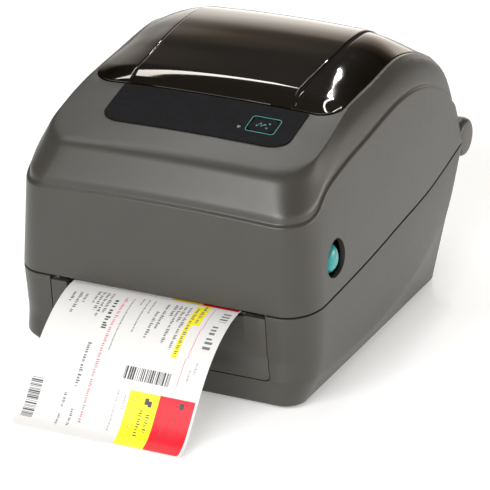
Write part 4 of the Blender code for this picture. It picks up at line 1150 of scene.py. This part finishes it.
def rear_panel():
    jack = box("power_jack", (-66.2, -53.8), (209.2, PORT_BACK), (16.3, 28.7), SOCKET)
    cut(jack, rod_y("power_jack_hole", (213.2, 233), (-60, 22.5), 4.4))
    join(jack, rod_y("power_jack_pin", (211, 227), (-60, 22.5), 1.2))
    port("usb_port", (-41.5, -27.5), (16, 29.5), ((-39.0, -30.0), (18.2, 27.2)),
         ((-37.2, -31.8), (20.4, 25.0)))
    port("serial_port", (-16.5, 16.5), (16, 30), ((-12.5, 12.5), (18.6, 27.4)), ((-10.0, 10.0), (20.4, 25.6)))
    port("network_port", (25.5, 42.5), (16, 31.5), ((28.0, 40.0), (18.6, 28.4)))
    housing = box("switch_housing", (53.8, 68.2), (209.2, PORT_BACK), (14.3, 34.7), SOCKET)
    cut(housing, box("switch_pocket", (56.0, 66.0), (214.5, 233), (16.5, 32.5)))
    rocker = [(223.0, 18.4), (230.6, 18.4), (229.2, 24.5), (227.6, 30.6), (221.3, 30.6), (219.4, 24.5)]
    plate_x("power_switch", rocker, (56.4, 65.6), SOCKET, origin=(61, 223.3, 24.5))


def hinge_pins():
    for side, label in SIDES:
        rod(f"hinge_pin_{label}", span(side, 42, 92), HINGE, PIN_R, STEEL)


def oval_x(name, x, yz, ry, rz):
    """Teardrop-like oval prism along X, narrower at the top."""
    outline = []
    for k in range(72):
        a = math.radians(5 * k)
        outline.append((yz[0] + ry * (1 - 0.12 * math.sin(a)) * math.cos(a), yz[1] + rz * math.sin(a)))
    return plate_x(name, outline, x)


def panel_block(name, half_x, half_y, low, high, mat=None, bevel=0.0):
    """Block standing square on the sloping panel at the feed button."""
    bm = bmesh.new()
    bmesh.ops.create_cube(bm, size=1.0)
    for v in bm.verts:
        v.co.x *= 2 * half_x
        v.co.y *= 2 * half_y
        v.co.z = (v.co.z + 0.5) * (high - low) + low
    if bevel:
        upright = [e for e in bm.edges if abs(e.verts[0].co.z - e.verts[1].co.z) > 0.1]
        bmesh.ops.bevel(bm, geom=upright, offset=bevel, segments=3, affect="EDGES")
    for v in bm.verts:
        v.co = on_panel(*v.co)
    return finish(bm, name, mat, (BUTTON_X, BUTTON_Y, top_z(BUTTON_X, BUTTON_Y)))


def ribbon_frame():
    outline = [(6.6, 71), (6.6, 84), (30, 128), (30, 138.6), (44, 138.6), (80, 151), (104, 147), (104, 130),
               (60, 100), (24, 71)]
    frame = plate_x("ribbon_frame", outline, (-FRAME_X - 2.4, -FRAME_X), FRAME)
    join(frame, box("frame_bar_low", (-61, 61), (9, 20), (81.4, 83.8)),
         box("frame_bar_mid", (-61, 61), (62, 65), (134, 144)),
         plate_x("ribbon_plate_right", outline, (FRAME_X, FRAME_X + 2.4)))
    for label, yz, r in (("take", TAKE, 3.9), ("supply", SUPPLY, 3.9), ("latch", LATCH, 3.3)):
        cut(frame, rod(f"frame_bore_{label}", (-66, 66), yz, r, seg=20))


def head_and_ribbon():
    plate_x("printhead", [(7.4, 60.6), (7.4, 66.4), (22.6, 66.4), (22.6, 62.4), (17, 60.6)], (-57, 57), ALLOY)
    bracket = box("printhead_bracket", (-58.5, 58.5), (7.4, 22.6), (66.8, 70.4), STEEL)
    for side, label in SIDES:
        join(bracket, box(f"bracket_post_{label}", span(side, 44, 50), (12, 17), (70, 81.0)))
    core = ((-62.4, 3.6), (-59.8, 3.6), (-59.8, 6.4), (59.8, 6.4), (59.8, 3.6), (62.4, 3.6))
    turned_x("supply_core", core, SUPPLY, CARD)
    rod("ribbon_roll", (-55, 55), SUPPLY, SUPPLY_R, FILM_EDGE, bore=6.6, seg=32)
    turned_x("takeup_core", core, TAKE, NYLON)
    rod("takeup_roll", (-55, 55), TAKE, 10.8, FILM_EDGE, bore=6.6, seg=32)
    path = [(99.3, 127.6), (62.0, 94.4), (25.6, 61.6), (23.4, 60.3), (20, 60.15), (8, 60.15), (5.8, 60.5),
            (4.9, 61.6), (4.9, 84.0), (40.9, 129.3)]
    ribbon_x("ribbon_film", path, (-55, 55), 0.12, RIBBON)


def latch():
    rod("latch_shaft", (-89, 89), LATCH, 3.0, STEEL, seg=16)
    outline = [(31.4, 99), (31.4, 108.6), (40.6, 108.6), (42.0, 96), (43.0, 66), (46.4, 60.4), (46.4, 57.0),
               (38.4, 57.0), (38.0, 80)]
    turns = [math.radians(7.5 * k) for k in range(48)]
    for side, label in SIDES:
        arm = plate_x(f"latch_lever_{label}", outline, span(side, 83, 87.6), TEAL, origin=(0, *LATCH))
        cut(arm, rod(f"lever_bore_{label}", span(side, 80, 90), LATCH, 3.12, seg=16))
        dome = [(87.0, 1.0)]
        for t in range(0, 81, 8):
            dome.append((90.6 + 5.4 * math.sin(math.radians(t)), math.cos(math.radians(t)) ** 0.75))
        pad = [[(side * x, PAD[0] + PAD_HALF[0] * scale * (1 - 0.16 * math.sin(a)) * math.cos(a),
                 PAD[1] + PAD_HALF[1] * scale * math.sin(a)) for a in turns] for x, scale in dome]
        join(arm, loft(f"lever_pad_{label}", pad))


# ---------------------------------------------------------------- build

base_shell()
bottom_plate()
feet_and_screws()
front_bezel()
inner_frame()
hold_down_bar()
drive()
media_parts()
label_print(label_strip())
electronics()
rear_panel()
hinge_pins()
cover_shell()
window()
control_panel()
button_mark()
ribbon_frame()
head_and_ribbon()
latch()

# Pieces that stand for no node of their own: the body each rides on, and its material slot
EXTRA = {"base_barrel": ("base", "case_grey"), "cover_barrel_left": ("cover", "case_grey"),
         "cover_barrel_right": ("cover", "case_grey"), "button_mark": ("button", "teal_plastic"),
         "button_outline": ("cover", "teal_plastic"), "label_print": ("base", "label_white")}
# Width of the rounded edges, where it isn't the usual one
USUAL_EDGE = 0.3
EDGES = {"base_shell": 0, "cover_shell": 0, "window": 0.5, "label_strip": 0, "label_print": 0,
         "button_mark": 0, "button_outline": 0, "ribbon_film": 0, "platen_gear": 0.08, "idler_gear": 0.08,
         "motor_pinion": 0.08, "feed_button": 0.25, "control_panel": 0.12, "front_bezel": 0.6,
         "network_port": 0.2, "cover_barrel_left": 0, "cover_barrel_right": 0, "label_roll": 0.4,
         "latch_lever_left": 0.35, "latch_lever_right": 0.35}

for name, look in LOOKS.items():
    if look.modifiers:
        settle(look)
    soften(look, EDGES.get(name, USUAL_EDGE))
    body, slot = EXTRA.get(name) or (BODY_OF[name], SLOT_OF[name])
    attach(look, body)
    if name in NODES:
        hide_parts(name)

for cutter in list(CUTTERS.objects):
    bpy.data.objects.remove(cutter)
bpy.data.collections.remove(CUTTERS)


# ---------------------------------------------------------------- floor, light and camera

def floor_plane():
    bm = bmesh.new()
    bmesh.ops.create_grid(bm, x_segments=1, y_segments=1, size=6.0)
    mesh = bpy.data.meshes.new("floor")
    bm.to_mesh(mesh)
    bm.free()
    floor = bpy.data.objects.new("floor", mesh)
    bpy.context.scene.collection.objects.link(floor)
    floor.location = (0, 0, -0.0002)
    white = surface("floor_white", (0.93, 0.935, 0.94), 0.6, tint=0.005, mottle=3.0, grain=400.0, relief=0.02)
    put(white.node_tree.nodes["Principled BSDF"], Emission_Color=(1.0, 0.99, 0.97, 1.0), Emission_Strength=0.26)
    mesh.materials.append(white)


def area_light(name, place, target, size, power, color=(1.0, 1.0, 1.0)):
    data = bpy.data.lights.new(name, "AREA")
    data.shape = "RECTANGLE"
    data.size, data.size_y = size
    data.energy = power
    data.color = color
    lamp = bpy.data.objects.new(name, data)
    lamp.location = place
    lamp.rotation_mode = "QUATERNION"
    lamp.rotation_quaternion = (Vector(place) - Vector(target)).to_track_quat("Z", "Y")
    bpy.context.scene.collection.objects.link(lamp)
    return lamp


def strip_light(start, end, width, power):
    """Long narrow light between two points, facing the printer."""
    a, b = Vector(start), Vector(end)
    middle = (a + b) / 2
    along = (b - a).normalized()
    back = middle - Vector((0, 0, 0.16))
    back = (back - along * back.dot(along)).normalized()
    lamp = area_light("strip", middle, (0, 0, 0), ((b - a).length, width), power)
    lamp.rotation_quaternion = Matrix((along, back.cross(along), back)).transposed().to_quaternion()


def sky_ramp(tree, split, stops):
    """Brightness of the surroundings by height above the horizon."""
    node = tree.nodes.new("ShaderNodeValToRGB")
    ramp = node.color_ramp
    while len(ramp.elements) < len(stops):
        ramp.elements.new(0.5)
    for element, (height, color) in zip(ramp.elements, stops):
        element.position = height
        element.color = (*color, 1.0)
    tree.links.new(split.outputs["Z"], node.inputs["Fac"])
    return node.outputs["Color"]


def scaled(tree, first, second):
    """One value times another."""
    node = tree.nodes.new("ShaderNodeMath")
    node.operation = "MULTIPLY"
    tree.links.new(first, node.inputs[0])
    tree.links.new(second, node.inputs[1])
    return node.outputs["Value"]


def towards(tree, place, direction):
    """How nearly each part of the surroundings lies in a direction."""
    node = tree.nodes.new("ShaderNodeVectorMath")
    node.operation = "DOT_PRODUCT"
    node.inputs[1].default_value = direction
    tree.links.new(place.outputs["Generated"], node.inputs[0])
    return node.outputs["Value"]


def studio():
    """Dim room with a bright floor line, a warm glow behind the printer, and a few soft lamps."""
    world = bpy.data.worlds.new("studio")
    bpy.context.scene.world = world
    world.use_nodes = True
    tree = world.node_tree
    place = tree.nodes.new("ShaderNodeTexCoord")
    split = tree.nodes.new("ShaderNodeSeparateXYZ")
    tree.links.new(place.outputs["Generated"], split.inputs["Vector"])
    across = split.outputs["X"]
    left_dark = mapped(tree, across, -0.66, -0.37, 0.12, 1.0, eased=True)
    right_dark = mapped(tree, across, 0.0, 0.20, 1.0, 0.0, eased=True)
    flagged = mapped(tree, towards(tree, place, (0.36, 0.90, 0.24)), 0.70, 0.93, 1.0, 0.15, eased=True)
    behind = mapped(tree, towards(tree, place, (-0.20, 0.98, 0.0)), 0.55, 0.80, 0.0, 1.5, eased=True)
    room = tree.nodes["Background"]
    tree.links.new(sky_ramp(tree, split, ((0.16, (1.22, 1.23, 1.24)), (0.50, (0.11, 0.105, 0.10)))),
                   room.inputs["Color"])
    tree.links.new(scaled(tree, flagged, left_dark), room.inputs["Strength"])
    glow = tree.nodes.new("ShaderNodeBackground")
    tree.links.new(sky_ramp(tree, split, ((0.30, (1.0, 0.90, 0.79)), (0.40, (0.46, 0.385, 0.305)),
                                          (0.49, (0.10, 0.075, 0.05)), (0.57, (0.0, 0.0, 0.0)))),
                   glow.inputs["Color"])
    tree.links.new(scaled(tree, behind, scaled(tree, left_dark, right_dark)), glow.inputs["Strength"])
    both = tree.nodes.new("ShaderNodeAddShader")
    tree.links.new(room.outputs["Background"], both.inputs[0])
    tree.links.new(glow.outputs["Background"], both.inputs[1])
    tree.links.new(both.outputs["Shader"], tree.nodes["World Output"].inputs["Surface"])
    strip_light((-0.69, -0.32, 1.245), (-0.372, 0.85, 1.0), 0.085, 3.1)
    strip_light((-0.105, 0.91, 1.012), (-0.04, 0.89, 1.04), 0.010, 1.3)
    strip_light((-0.04, 0.89, 1.04), (0.04, 0.12, 1.40), 0.024, 1.3)
    area_light("front", (-0.06, -1.40, 0.95), (0, 0, 0.1), (1.15, 0.42), 18.0)
    area_light("right_side", (1.6, 0.75, 0.32), (0, 0, 0.1), (1.1, 0.5), 9.0, (1.0, 0.94, 0.86))
    bpy.context.scene.view_settings.view_transform = "Standard"
    bpy.context.scene.view_settings.exposure = 0.32


CAMERA_AZIMUTH = 24.98
CAMERA_ELEVATION = 22.98
CAMERA_LENS = 241.0
CAMERA_PLACE = (783.5, -1559.3, 832.9)


def camera():
    data = bpy.data.cameras.new("camera")
    data.lens = CAMERA_LENS
    data.sensor_width = 36.0
    data.clip_start = 0.05
    data.clip_end = 50.0
    cam = bpy.data.objects.new("camera", data)
    a = math.radians(CAMERA_AZIMUTH)
    e = math.radians(CAMERA_ELEVATION)
    back = Vector((math.sin(a) * math.cos(e), -math.cos(a) * math.cos(e), math.sin(e)))
    right = Vector((math.cos(a), math.sin(a), 0))
    up = back.cross(right)
    cam.matrix_world = Matrix((
        (right.x, up.x, back.x, 0), (right.y, up.y, back.y, 0), (right.z, up.z, back.z, 0), (0, 0, 0, 1)))
    cam.location = at(*CAMERA_PLACE)
    bpy.context.scene.collection.objects.link(cam)
    bpy.context.scene.camera = cam


floor_plane()
studio()
camera()
